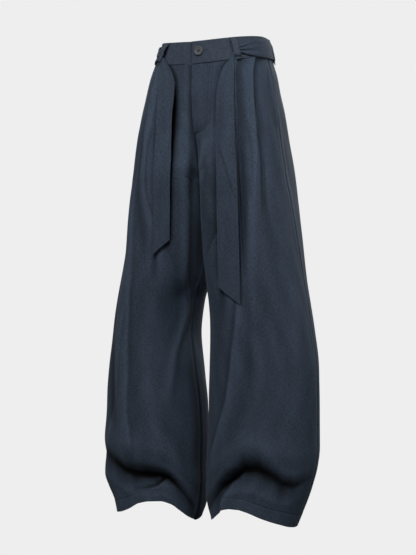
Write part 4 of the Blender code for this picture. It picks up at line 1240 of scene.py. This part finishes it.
def on_fly(along, z, push=0.0):
    """Points on the placket's face. It thins away to the side that is part of the front."""
    line = waist_line(z)
    share = np.clip((along + FLY_LAP) / (fly_edge(z) + FLY_LAP), 0, 1)
    lap = 1.0 - 0.95 * ease(share, 0.20, 0.75)
    out = (FLY_STAND + CLOTH) * lap + push
    grooves = front_grooves("left", front_near("left", z), np.maximum(along, 0), z)
    out = out + np.where(along > 0, grooves, 0)
    return settled(line.bridged(line.total / 2 + along, out, FLY_BRIDGE), z)


def on_row(along, z, inset):
    """Distance from the row of stitching that runs an inset inside the placket's curved edge."""
    wide = FLY_WIDTH - FLY_TIP
    deep = FLY_BEND_Z - FLY_END_Z
    fall = max(0.0, FLY_BEND_Z - z) / deep
    reach = np.maximum(along - FLY_TIP, 0.0) / wide
    return (np.hypot(reach, fall) - 1) * min(wide, deep) + inset


def fly_panel():
    """The placket, straight at first and then curved in to its tip."""
    straight = np.linspace(FLY_TOP_Z, FLY_BEND_Z, FLY_STRAIGHT_ROWS)[:-1]
    turn = np.linspace(0, math.pi / 2, FLY_BEND_ROWS)
    bend = FLY_BEND_Z + (FLY_END_Z - FLY_BEND_Z) * np.sin(turn)
    shares = edged(FLY_COLUMNS, FLY_MEAN_WIDTH)
    points = []
    for z in np.concatenate([straight, bend]):
        along = -FLY_LAP + (fly_edge(z) + FLY_LAP) * shares
        drawn = sum(bell(on_row(along, z, inset), FLY_DRAW_WIDTH) for inset in FLY_ROWS)
        points.append(on_fly(along, z, -CLOTH / 2 - FLY_DRAW * drawn))
    return strip(points, CLOTH, (rolled(FLY_COLUMNS, FLY_MEAN_WIDTH, CLOTH) * (1.0 - 0.5 * shares))[None, :])


def loop_panel(loop):
    """A belt loop as a folded strip: its ends turn under and lie on the band, its middle stands off."""
    seat = LOOP_SEAT + LOOP_LIE
    high = loop.bow * MM + LOOP_WALL / 2
    foot = LOOP_TOP_Z - loop.foot_z
    shares = np.linspace(0.0, 1.0, LOOP_ROWS)
    stands = smooth_through([0.0, 0.07, 0.22, 0.34, 0.66, 0.80, 0.93, 1.0],
                            [seat, seat + 0.0002, high - 0.0008, high,
                             high, high - 0.0008, seat + 0.0002, seat], shares)
    sides = edged(LOOP_COLUMNS, LOOP_WIDTH, 0.0006) - 0.5
    crown = LOOP_CROWN * (1 - (2 * sides) ** 4)
    points = []
    for share, stand in zip(shares, stands):
        z = LOOP_TOP_Z - foot * share
        line = waist_near(z)
        if loop.at is None:
            row = np.repeat(waist_points(line, WAIST_TOTAL / 2, stand), len(sides), axis=0)
            row[:, 0] = -sides * LOOP_WIDTH
            row[:, 1] += crown
        else:
            row = waist_points(line, loop.at + loop.lean * share + sides * LOOP_WIDTH, stand + crown)
        points.append(settled(row, z))
    ends = rolled(LOOP_ROWS, foot, LOOP_WALL)[:, None]
    return strip(points, LOOP_WALL, rolled(LOOP_COLUMNS, LOOP_WIDTH, LOOP_WALL)[None, :] * ends)


def sash_hip_panel():
    """The tie belt's stretch from one front loop round the back to the other."""
    start, end = (loop.at + LEAN_AT_SASH * loop.lean for loop in BELT_LOOPS[:2])
    start -= SASH_PAST_LOOP
    span = WAIST_TOTAL - start + end + SASH_PAST_LOOP
    parts = np.concatenate([np.linspace(0, SASH_END, 64)[:-1], np.linspace(SASH_END, 1 - SASH_END, 120)[:-1],
                            np.linspace(1 - SASH_END, 1, 64)])
    along = start + span * parts
    along = np.where(along > WAIST_TOTAL / 2, along - WAIST_TOTAL, along)
    near = np.minimum(parts, 1 - parts) * span
    pinch = sum(bell(np.abs(along) - place, SASH_PINCH_WIDTH)
                for place in (BELT_LOOPS[2].at, WAIST_TOTAL / 2))
    top = by_place(SASH_STATIONS, "part", "top", parts) * MM - SASH_PINCH[0] * pinch
    low = by_place(SASH_STATIONS, "part", "low", parts) * MM + SASH_PINCH[1] * pinch
    points = []
    for lane in edged(SASH_LANES, SASH_MEAN_WIDTH):
        z = top * (1 - lane) + low * lane
        push = (0.35 * np.sin(38 * along + 5 * lane) + 0.5 * pinch * np.cos(14 * lane)) * MM
        for fold in SASH_FOLDS:
            run = near / fold.reach
            centre = smooth_through([0, 0.5, 1.0], [fold.lane, fold.lane_middle, fold.lane_far], run)
            width = fold.width * (1 + 1.6 * run)
            fade = (1 - ease(near, 0.35 * fold.reach, fold.reach)) * ease(near, 0.0, 0.009)
            push = push + fold.push * MM * fade * bell(lane - centre, width)
        full = 1.0 - 0.55 * (1 - float(ease(min(lane, 1 - lane), 0.0, 0.16)))
        stand = (BAND_WALL + SASH_WALL) / 2 + SASH_CLEAR + SASH_FULLNESS * full + push
        points.append(settled(np.array([waist_points(waist_near(height), a, s)[0]
                                        for a, height, s in zip(along, z, stand)]), z))
    return strip(points, SASH_WALL, rolled(SASH_LANES, SASH_MEAN_WIDTH, SASH_WALL)[:, None])


def tail_panel(tail):
    """A hanging end, gathered to a point under its loop, with a crease or two of its own."""
    lanes = edged(TAIL_LANES, TAIL_MEAN_WIDTH) - 0.5
    top = tail.stations[0].z * MM
    low = tail.stations[-1].z * MM
    points, tones = [], []
    for share in np.linspace(0.0, 1.0, TAIL_ROWS):
        z = top + (low - top) * share ** TAIL_GATHER
        depth = z / MM
        width, stand, ripple, middle = (by_height(tail.stations, field, z) * MM
                                        for field in ("width", "stand", "ripple", "middle"))
        tips = z - tail.slant * lanes * float(ease(share, TAIL_SLANT_FROM, 1.0))
        wave = 0.5 + 0.5 * np.sin(2 * math.pi * TAIL_RIPPLES * lanes + 5 * share)
        out = stand + ripple * wave + SASH_WALL / 2
        # Lighter along both edges; painted light and shade on the creases, by how far each stands out or
        # sinks
        shade = 0.10 * bell(0.5 - np.abs(lanes), 0.03)
        for crease in tail.creases:
            begun = ease(depth, crease.z_top + TAIL_CREASE_FADE, crease.z_top - TAIL_CREASE_FADE)
            left = ease(depth, crease.z_low - TAIL_CREASE_FADE, crease.z_low + TAIL_CREASE_FADE)
            run = np.clip((depth - crease.z_top) / (crease.z_low - crease.z_top), 0, 1)
            centre = crease.lane_top + (crease.lane_low - crease.lane_top) * run
            fold = crease.push * begun * left * bell(lanes - centre, crease.width)
            out = out + fold * MM
            shade = shade + TAIL_CREASE_TONE * fold
        tones.append(shade)
        made = []
        for lane, tip, o in zip(lanes, tips, out):
            line = front_near(tail.leg, min(tip, -0.001))
            made.append(line.at(line.length_at(middle) + width * lane, o)[0])
        points.append(settled(np.array(made), tips))
    thin = rolled(TAIL_LANES, TAIL_MEAN_WIDTH, SASH_WALL)[None, :]
    return mirrored_if(tail.leg, strip(points, SASH_WALL, thin, tones))


def node(tree, kind, inputs=(), **settings):
    """A shader or geometry node with its settings and its inputs' values or links."""
    made = tree.nodes.new(kind)
    for key, value in settings.items():
        setattr(made, key, value)
    for key, value in dict(inputs).items():
        if isinstance(value, bpy.types.NodeSocket):
            tree.links.new(value, made.inputs[key])
        else:
            made.inputs[key].default_value = value
    return made


def maths(tree, operation, first, second):
    """Two values or links put together by a maths node."""
    return node(tree, "ShaderNodeMath", {0: first, 1: second}, operation=operation).outputs[0]


def spread(tree, value, start, end, low, high):
    """A value with its run from start to end laid on low to high."""
    return node(tree, "ShaderNodeMapRange", {"Value": value, "From Min": start, "From Max": end,
                                             "To Min": low, "To Max": high}).outputs[0]


def new_material(name):
    """A material, its node tree and its main shader."""
    made = bpy.data.materials.new(name)
    made.use_nodes = True
    return made, made.node_tree, made.node_tree.nodes["Principled BSDF"]


def tinted(tree, shader, colour, shade):
    """The shader's colour: one colour, lighter and darker by shade."""
    tint = node(tree, "ShaderNodeVectorMath", {0: colour, "Scale": shade}, operation="SCALE")
    tree.links.new(tint.outputs[0], shader.inputs["Base Color"])


def cloth_finish(name, colour, seed):
    """Matt woven cloth: slubs along both threads, soft mottling, a fine twill line, and the painted light and
    shade that the tone attribute carries.
    """
    made, tree, shader = new_material(name)
    uv = node(tree, "ShaderNodeUVMap", uv_map="flat").outputs["UV"]

    def noise(size, detail, shift):
        place = node(tree, "ShaderNodeMapping", {"Vector": uv, "Location": (shift, shift * 0.7, 0),
                                                 "Scale": (1 / size[0], 1 / size[1], 1)})
        return node(tree, "ShaderNodeTexNoise", {"Vector": place.outputs[0], "Scale": 1.0, "Detail": detail,
                                                 "Roughness": 0.6}, noise_dimensions="2D").outputs[0]

    warp = noise(WARP_SLUB, 3.0, seed)
    weft = noise(WEFT_SLUB, 3.0, seed + 3.1)
    mottle = noise(MOTTLE, 4.0, seed + 7.7)
    threads = maths(tree, "ADD", warp, weft)
    shade = spread(tree, threads, 0.70, 1.30, 0.72, 1.30)
    patch = spread(tree, mottle, 0.3, 0.7, 0.93, 1.07)
    # The tone attribute holds painted light and shade, which lighten and darken the woven colour
    painted_light_and_shade = node(tree, "ShaderNodeAttribute", attribute_name="tone").outputs["Fac"]
    woven = maths(tree, "MULTIPLY", shade, patch)
    tinted(tree, shader, colour, maths(tree, "MULTIPLY", woven, maths(tree, "ADD", painted_light_and_shade, 1.0)))
    twill = node(tree, "ShaderNodeMapping", {"Vector": uv, "Rotation": (0, 0, math.radians(TWILL_SLANT))})
    lines = node(tree, "ShaderNodeTexWave", {"Vector": twill.outputs[0], "Scale": TWILL_LINES,
                                             "Distortion": 0.8, "Detail": 1.0}, wave_type="BANDS")
    height = maths(tree, "ADD", lines.outputs["Fac"], threads)
    bump = node(tree, "ShaderNodeBump", {"Height": height, "Strength": 0.30, "Distance": 0.0003})
    tree.links.new(bump.outputs[0], shader.inputs["Normal"])
    shader.inputs["Roughness"].default_value = 0.88
    shader.inputs["Specular IOR Level"].default_value = 0.12
    shader.inputs["Sheen Weight"].default_value = 0.05
    shader.inputs["Sheen Roughness"].default_value = 0.45
    shader.inputs["Sheen Tint"].default_value = (0.55, 0.62, 0.75, 1.0)
    return made


def plain_finish(name, colour, roughness, grain):
    """A smooth finish with a faint grain, for thread and for the button."""
    made, tree, shader = new_material(name)
    place = node(tree, "ShaderNodeTexCoord").outputs["Object"]
    speck = node(tree, "ShaderNodeTexNoise", {"Vector": place, "Scale": grain, "Detail": 2.0})
    tinted(tree, shader, colour, spread(tree, speck.outputs[0], 0.3, 0.7, 0.86, 1.12))
    shader.inputs["Roughness"].default_value = roughness
    return made


def stitch_tree():
    """Geometry nodes: small rounded stitches laid end to end along a line."""
    tree = bpy.data.node_groups.new("stitch_run", "GeometryNodeTree")
    face = tree.interface
    face.new_socket("Path", in_out="INPUT", socket_type="NodeSocketGeometry")
    for name, value in (("Step", STITCH_STEP), ("Stitch Length", STITCH_STEP * 0.72), ("Thread", THREAD)):
        face.new_socket(name, in_out="INPUT", socket_type="NodeSocketFloat").default_value = value
    face.new_socket("Finish", in_out="INPUT", socket_type="NodeSocketMaterial")
    face.new_socket("Stitches", in_out="OUTPUT", socket_type="NodeSocketGeometry")
    given = tree.nodes.new("NodeGroupInput").outputs
    curve = node(tree, "GeometryNodeMeshToCurve", {"Mesh": given["Path"]})
    spaced = node(tree, "GeometryNodeResampleCurve", {"Curve": curve.outputs[0], "Length": given["Step"]},
                  mode="LENGTH")
    bead = node(tree, "GeometryNodeMeshIcoSphere", {"Radius": 1.0, "Subdivisions": 1})
    half = maths(tree, "MULTIPLY", given["Stitch Length"], 0.5)
    size = node(tree, "ShaderNodeCombineXYZ", {"X": given["Thread"], "Y": given["Thread"], "Z": half})
    tangent = node(tree, "GeometryNodeInputTangent")
    aim = node(tree, "FunctionNodeAlignRotationToVector", {"Vector": tangent.outputs[0]}, axis="Z")
    laid = node(tree, "GeometryNodeInstanceOnPoints",
                {"Points": spaced.outputs[0], "Instance": bead.outputs[0], "Rotation": aim.outputs[0],
                 "Scale": size.outputs[0]})
    real = node(tree, "GeometryNodeRealizeInstances", {"Geometry": laid.outputs[0]})
    smooth = node(tree, "GeometryNodeSetShadeSmooth", {"Geometry": real.outputs[0]})
    named = node(tree, "GeometryNodeSetMaterial",
                 {"Geometry": smooth.outputs[0], "Material": given["Finish"]})
    out = tree.nodes.new("NodeGroupOutput")
    tree.links.new(named.outputs[0], out.inputs[0])
    return tree


def sewn(name, paths, tree, finish, **sizes):
    """One piece of stitches along polylines of x, y, z points."""
    mesh = bpy.data.meshes.new(name + "_paths")
    points, edges = [], []
    for path in paths:
        start = len(points)
        points.extend(tuple(p) for p in path)
        edges.extend((start + k, start + k + 1) for k in range(len(path) - 1))
    mesh.from_pydata(points, edges, [])
    carrier = placed(name + "_paths", mesh)
    run = carrier.modifiers.new("run", "NODES")
    run.node_group = tree
    sockets = {item.name: item.identifier for item in tree.interface.items_tree if item.in_out == "INPUT"}
    run[sockets["Finish"]] = finish
    for key, value in sizes.items():
        run[sockets[key.replace("_", " ").title()]] = value
    graph = bpy.context.evaluated_depsgraph_get()
    made = bpy.data.meshes.new_from_object(carrier.evaluated_get(graph))
    made.name = name
    bpy.data.objects.remove(carrier, do_unlink=True)
    return placed(name, made)


def lifted_path(panel, rows, columns, stand=STITCH_STAND):
    """A path over a panel's outer points, lifted off the cloth."""
    out = panel.outer[rows, columns] - panel.inner[rows, columns]
    out = out / np.maximum(np.linalg.norm(out, axis=-1), 1e-9)[..., None]
    return panel.outer[rows, columns] + out * stand


def fly_rows():
    """The placket's two rows, down beside its edge and round its end."""
    paths = []
    wide = FLY_WIDTH - FLY_TIP
    deep = FLY_BEND_Z - FLY_END_Z
    for inset in FLY_ROWS:
        size = 1 - inset / min(wide, deep)
        places = [(FLY_TIP + wide * size, z) for z in np.linspace(FLY_TOP_Z - 0.002, FLY_BEND_Z, 30)[:-1]]
        places += [(FLY_TIP + wide * size * math.cos(t), FLY_BEND_Z - deep * size * math.sin(t))
                   for t in np.linspace(0, math.pi / 2, 26)]
        places += [(along, FLY_BEND_Z - deep * size)
                   for along in np.linspace(FLY_TIP, -FLY_LAP + 0.001, 6)[1:]]
        paths.append([on_fly(np.array([along]), z, STITCH_STAND)[0] for along, z in places])
    return paths


def hem_rows(panels):
    """The row round each hem."""
    row = int(np.argmin(np.abs(panel_rows() - HEM_Z - HEM_TURN)))
    return [lifted_path(panels[side + leg], row, slice(2, -2))
            for side in ("front_", "back_") for leg in LEGS]


def edge_rows(panel, columns, rows):
    """Rows of stitching down some columns of a panel."""
    return [lifted_path(panel, rows, column) for column in columns]


def pocket_rows(panels):
    """A row beside each side-seam pocket's opening and a bar of close stitches at both its ends."""
    rows = [k for k, z in enumerate(panel_rows()) if POCKET_Z[0] - 0.002 < -z < POCKET_Z[1] + 0.002]
    edges, bars = [], []
    for leg in LEGS:
        panel = panels["front_" + leg]
        columns = list(range(panel.u.shape[1]))
        if leg == "left":
            columns = columns[::-1]
        run = np.abs(panel.u[rows[0], columns] - panel.u[rows[0], columns[0]])
        column = columns[int(np.argmin(np.abs(run - POCKET_ROW)))]
        edges.append(lifted_path(panel, rows, column))
        reach = [c for c, far in zip(columns, run) if 0.0012 < far < POCKET_ROW + 0.001]
        bars.extend(lifted_path(panel, row, reach) for row in (rows[0], rows[0] + 1, rows[-1] - 1, rows[-1]))
    return edges, bars


def on_band(along, z, push):
    """A point of the waist, pushed outward."""
    return settled(waist_points(waist_line(z), along, push), z)[0]


def buttonhole_rows():
    """Close rows above and below the buttonhole's cut."""
    places = np.linspace(BUTTONHOLE[0], BUTTONHOLE[1], 24)
    stand = BAND_WALL / 2 + STITCH_STAND
    return [[on_band(along, BUTTON_Z + rise, stand) for along in places] for rise in (-0.0008, 0.0008)]


def button_thread():
    """Thread over the button's face from hole to hole, crossed."""
    corners = np.array([v.co for v in bpy.data.objects["button"].data.vertices])
    centre = (corners.min(axis=0) + corners.max(axis=0)) / 2
    out = on_band(BUTTON_AT, BUTTON_Z, 0.01) - on_band(BUTTON_AT, BUTTON_Z, 0.0)
    out /= np.linalg.norm(out)
    aside = np.cross((0.0, 0.0, 1.0), out)
    aside /= np.linalg.norm(aside)
    up = np.cross(out, aside)
    face = max((corners - centre) @ out)
    steps = np.linspace(-1, 1, 9)[:, None]
    rise = face - BUTTON_DEPTH + (BUTTON_DEPTH + 0.0001) * np.cos(0.5 * math.pi * steps)
    return [centre + out * rise + HOLE_SPREAD * 1.15 * steps * (aside + up * lean) for lean in (1, -1)]


def sew(panels, tree, thread, dark_thread):
    """Every row of stitching, one piece for each part of the garment."""
    edges, bars = pocket_rows(panels)
    tails = [path for tail in TAILS for path in edge_rows(panels[tail.name], (3, -4), slice(24, -3))]
    tails += [lifted_path(panels[tail.name], -5, slice(3, -3)) for tail in TAILS]
    loops = [path for loop in BELT_LOOPS for path in edge_rows(panels[loop.name], (2, -3), slice(2, -2))]
    runs = (
        ("fly_stitching", fly_rows(), "fly_cloth", {}),
        ("hem_stitching", hem_rows(panels), "front_left_cloth", {}),
        ("pocket_stitching", edges, "front_left_cloth", {}),
        ("pocket_bar_tacks", bars, "front_left_cloth", {"step": 0.0008, "stitch_length": 0.0009}),
        ("tail_stitching", tails, "sash_tail_left_cloth", {}),
        ("loop_stitching", loops, "belt_loop_front_left_cloth", {"thread": 0.00034}),
        ("buttonhole_stitching", buttonhole_rows(), "waistband_left_cloth",
         {"step": 0.0007, "stitch_length": 0.0006, "thread": 0.0007}),
        ("button_thread", button_thread(), "waistband_left_cloth",
         {"step": 0.0005, "stitch_length": 0.0009, "thread": 0.0005}),
    )
    for name, paths, slot, sizes in runs:
        # The buttonhole's rows take the near-black thread too, which stands in for the shade in the cut
        # between them: painted shade
        piece = sewn(name, paths, tree, dark_thread if name.startswith("button") else thread, **sizes)
        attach(piece, "root")


def unlit(piece):
    """A stage piece that the camera sees but that neither lights nor shades the garment."""
    for flag in ("visible_diffuse", "visible_glossy", "visible_transmission", "visible_shadow"):
        setattr(piece, flag, False)


def set_stage():
    """Pale floor and backdrop, even light from all round and the lamps."""
    pale, tree, shader = new_material("pale_studio")
    tree.nodes.remove(shader)
    glow = node(tree, "ShaderNodeEmission", {"Color": (BACKDROP, BACKDROP, BACKDROP, 1), "Strength": 1.0})
    tree.links.new(glow.outputs[0], tree.nodes["Material Output"].inputs["Surface"])
    for name, corners, faces in (
            ("floor", [(-9, -9, FLOOR_Z), (9, -9, FLOOR_Z), (9, 9, FLOOR_Z), (-9, 9, FLOOR_Z)],
             [(0, 1, 2, 3)]),
            ("backdrop", [(x, y, z) for z in (FLOOR_Z, 9) for y in (-9, 9) for x in (-9, 9)],
             [(4, 5, 7, 6), (0, 4, 6, 2), (1, 3, 7, 5), (2, 6, 7, 3), (0, 1, 5, 4)])):
        mesh = bpy.data.meshes.new(name)
        mesh.from_pydata(corners, [], faces)
        mesh.materials.append(pale)
        unlit(placed(name, mesh))
    world = bpy.data.worlds.new("studio")
    bpy.context.scene.world = world
    world.use_nodes = True
    world.node_tree.nodes["Background"].inputs["Color"].default_value = (1.0, 1.0, 1.0, 1)
    world.node_tree.nodes["Background"].inputs["Strength"].default_value = AMBIENT
    for lamp in LAMPS:
        data = bpy.data.lights.new(lamp.name, "AREA")
        data.energy = lamp.power
        data.size = lamp.size
        light = placed(lamp.name, data)
        turn = math.radians(lamp.azimuth)
        rise = math.radians(lamp.elevation)
        level = lamp.distance * math.cos(rise)
        light.location = (level * math.sin(turn), -level * math.cos(turn),
                          lamp.distance * math.sin(rise) + LAMPS_AIM_Z)
        light.rotation_euler = (math.radians(90) - rise, 0.0, turn)
    bpy.context.scene.view_settings.view_transform = "Standard"


def set_camera():
    """The camera where the photograph's stood."""
    turn = math.radians(VIEW_AZIMUTH)
    data = bpy.data.cameras.new("camera")
    data.lens = VIEW_LENS
    data.sensor_width = 36.0
    camera = placed("camera", data)
    camera.location = (VIEW_ASIDE * math.cos(turn) + VIEW_DISTANCE * math.sin(turn),
                       VIEW_ASIDE * math.sin(turn) - VIEW_DISTANCE * math.cos(turn), VIEW_HEIGHT)
    camera.rotation_euler = (math.radians(90), 0.0, turn)
    bpy.context.scene.camera = camera


WAIST_TOTAL = waist_line(0.0).total


def dress():
    """Every piece of cloth, the button's finish and the stitching."""
    cloth = cloth_finish("slate_cloth", CLOTH_COLOUR, 0.0)
    band_cloth = cloth_finish("slate_band_cloth", BAND_COLOUR, 5.0)
    thread = plain_finish("slate_thread", THREAD_COLOUR, 0.6, 900.0)
    dark_thread = plain_finish("button_thread_slate", DARK_THREAD_COLOUR, 0.6, 900.0)
    button = plain_finish("grey_button", BUTTON_COLOUR, 0.38, 120.0)
    panels = {}
    for leg in LEGS:
        panels["front_" + leg] = leg_panel(leg, front_line, front_row, 0)
        panels["back_" + leg] = leg_panel(leg, back_line, back_row, -1)
    half = WAIST_TOTAL / 2
    panels["waistband_left"] = band_panel(-BAND_OVERLAP, half, BAND_COLUMNS[0], lambda a: 0.0, 3)
    panels["waistband_right"] = band_panel(-half, BAND_UNDERLAP, BAND_COLUMNS[1],
                                           lambda a: (BAND_WALL + LAP_GAP) * ease(a, *BAND_STEP), 4)
    panels["fly"] = fly_panel()
    panels.update((loop.name, loop_panel(loop)) for loop in BELT_LOOPS)
    panels["sash_hip"] = sash_hip_panel()
    panels.update((tail.name, tail_panel(tail)) for tail in TAILS)
    for name, panel in panels.items():
        banded = name.startswith(("waistband", "belt_loop"))
        piece = cloth_shell("cloth_" + name, panel, band_cloth if banded else cloth)
        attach(piece, "root")
        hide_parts(name)
    for leg in LEGS:
        facing = cloth_shell("pocket_facing_" + leg, pocket_facing(leg), cloth)
        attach(facing, "root")
    bpy.data.objects["button"].data.materials.clear()
    bpy.data.objects["button"].data.materials.append(button)
    sew(panels, stitch_tree(), thread, dark_thread)


def main():
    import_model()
    dress()
    set_stage()
    set_camera()


main()
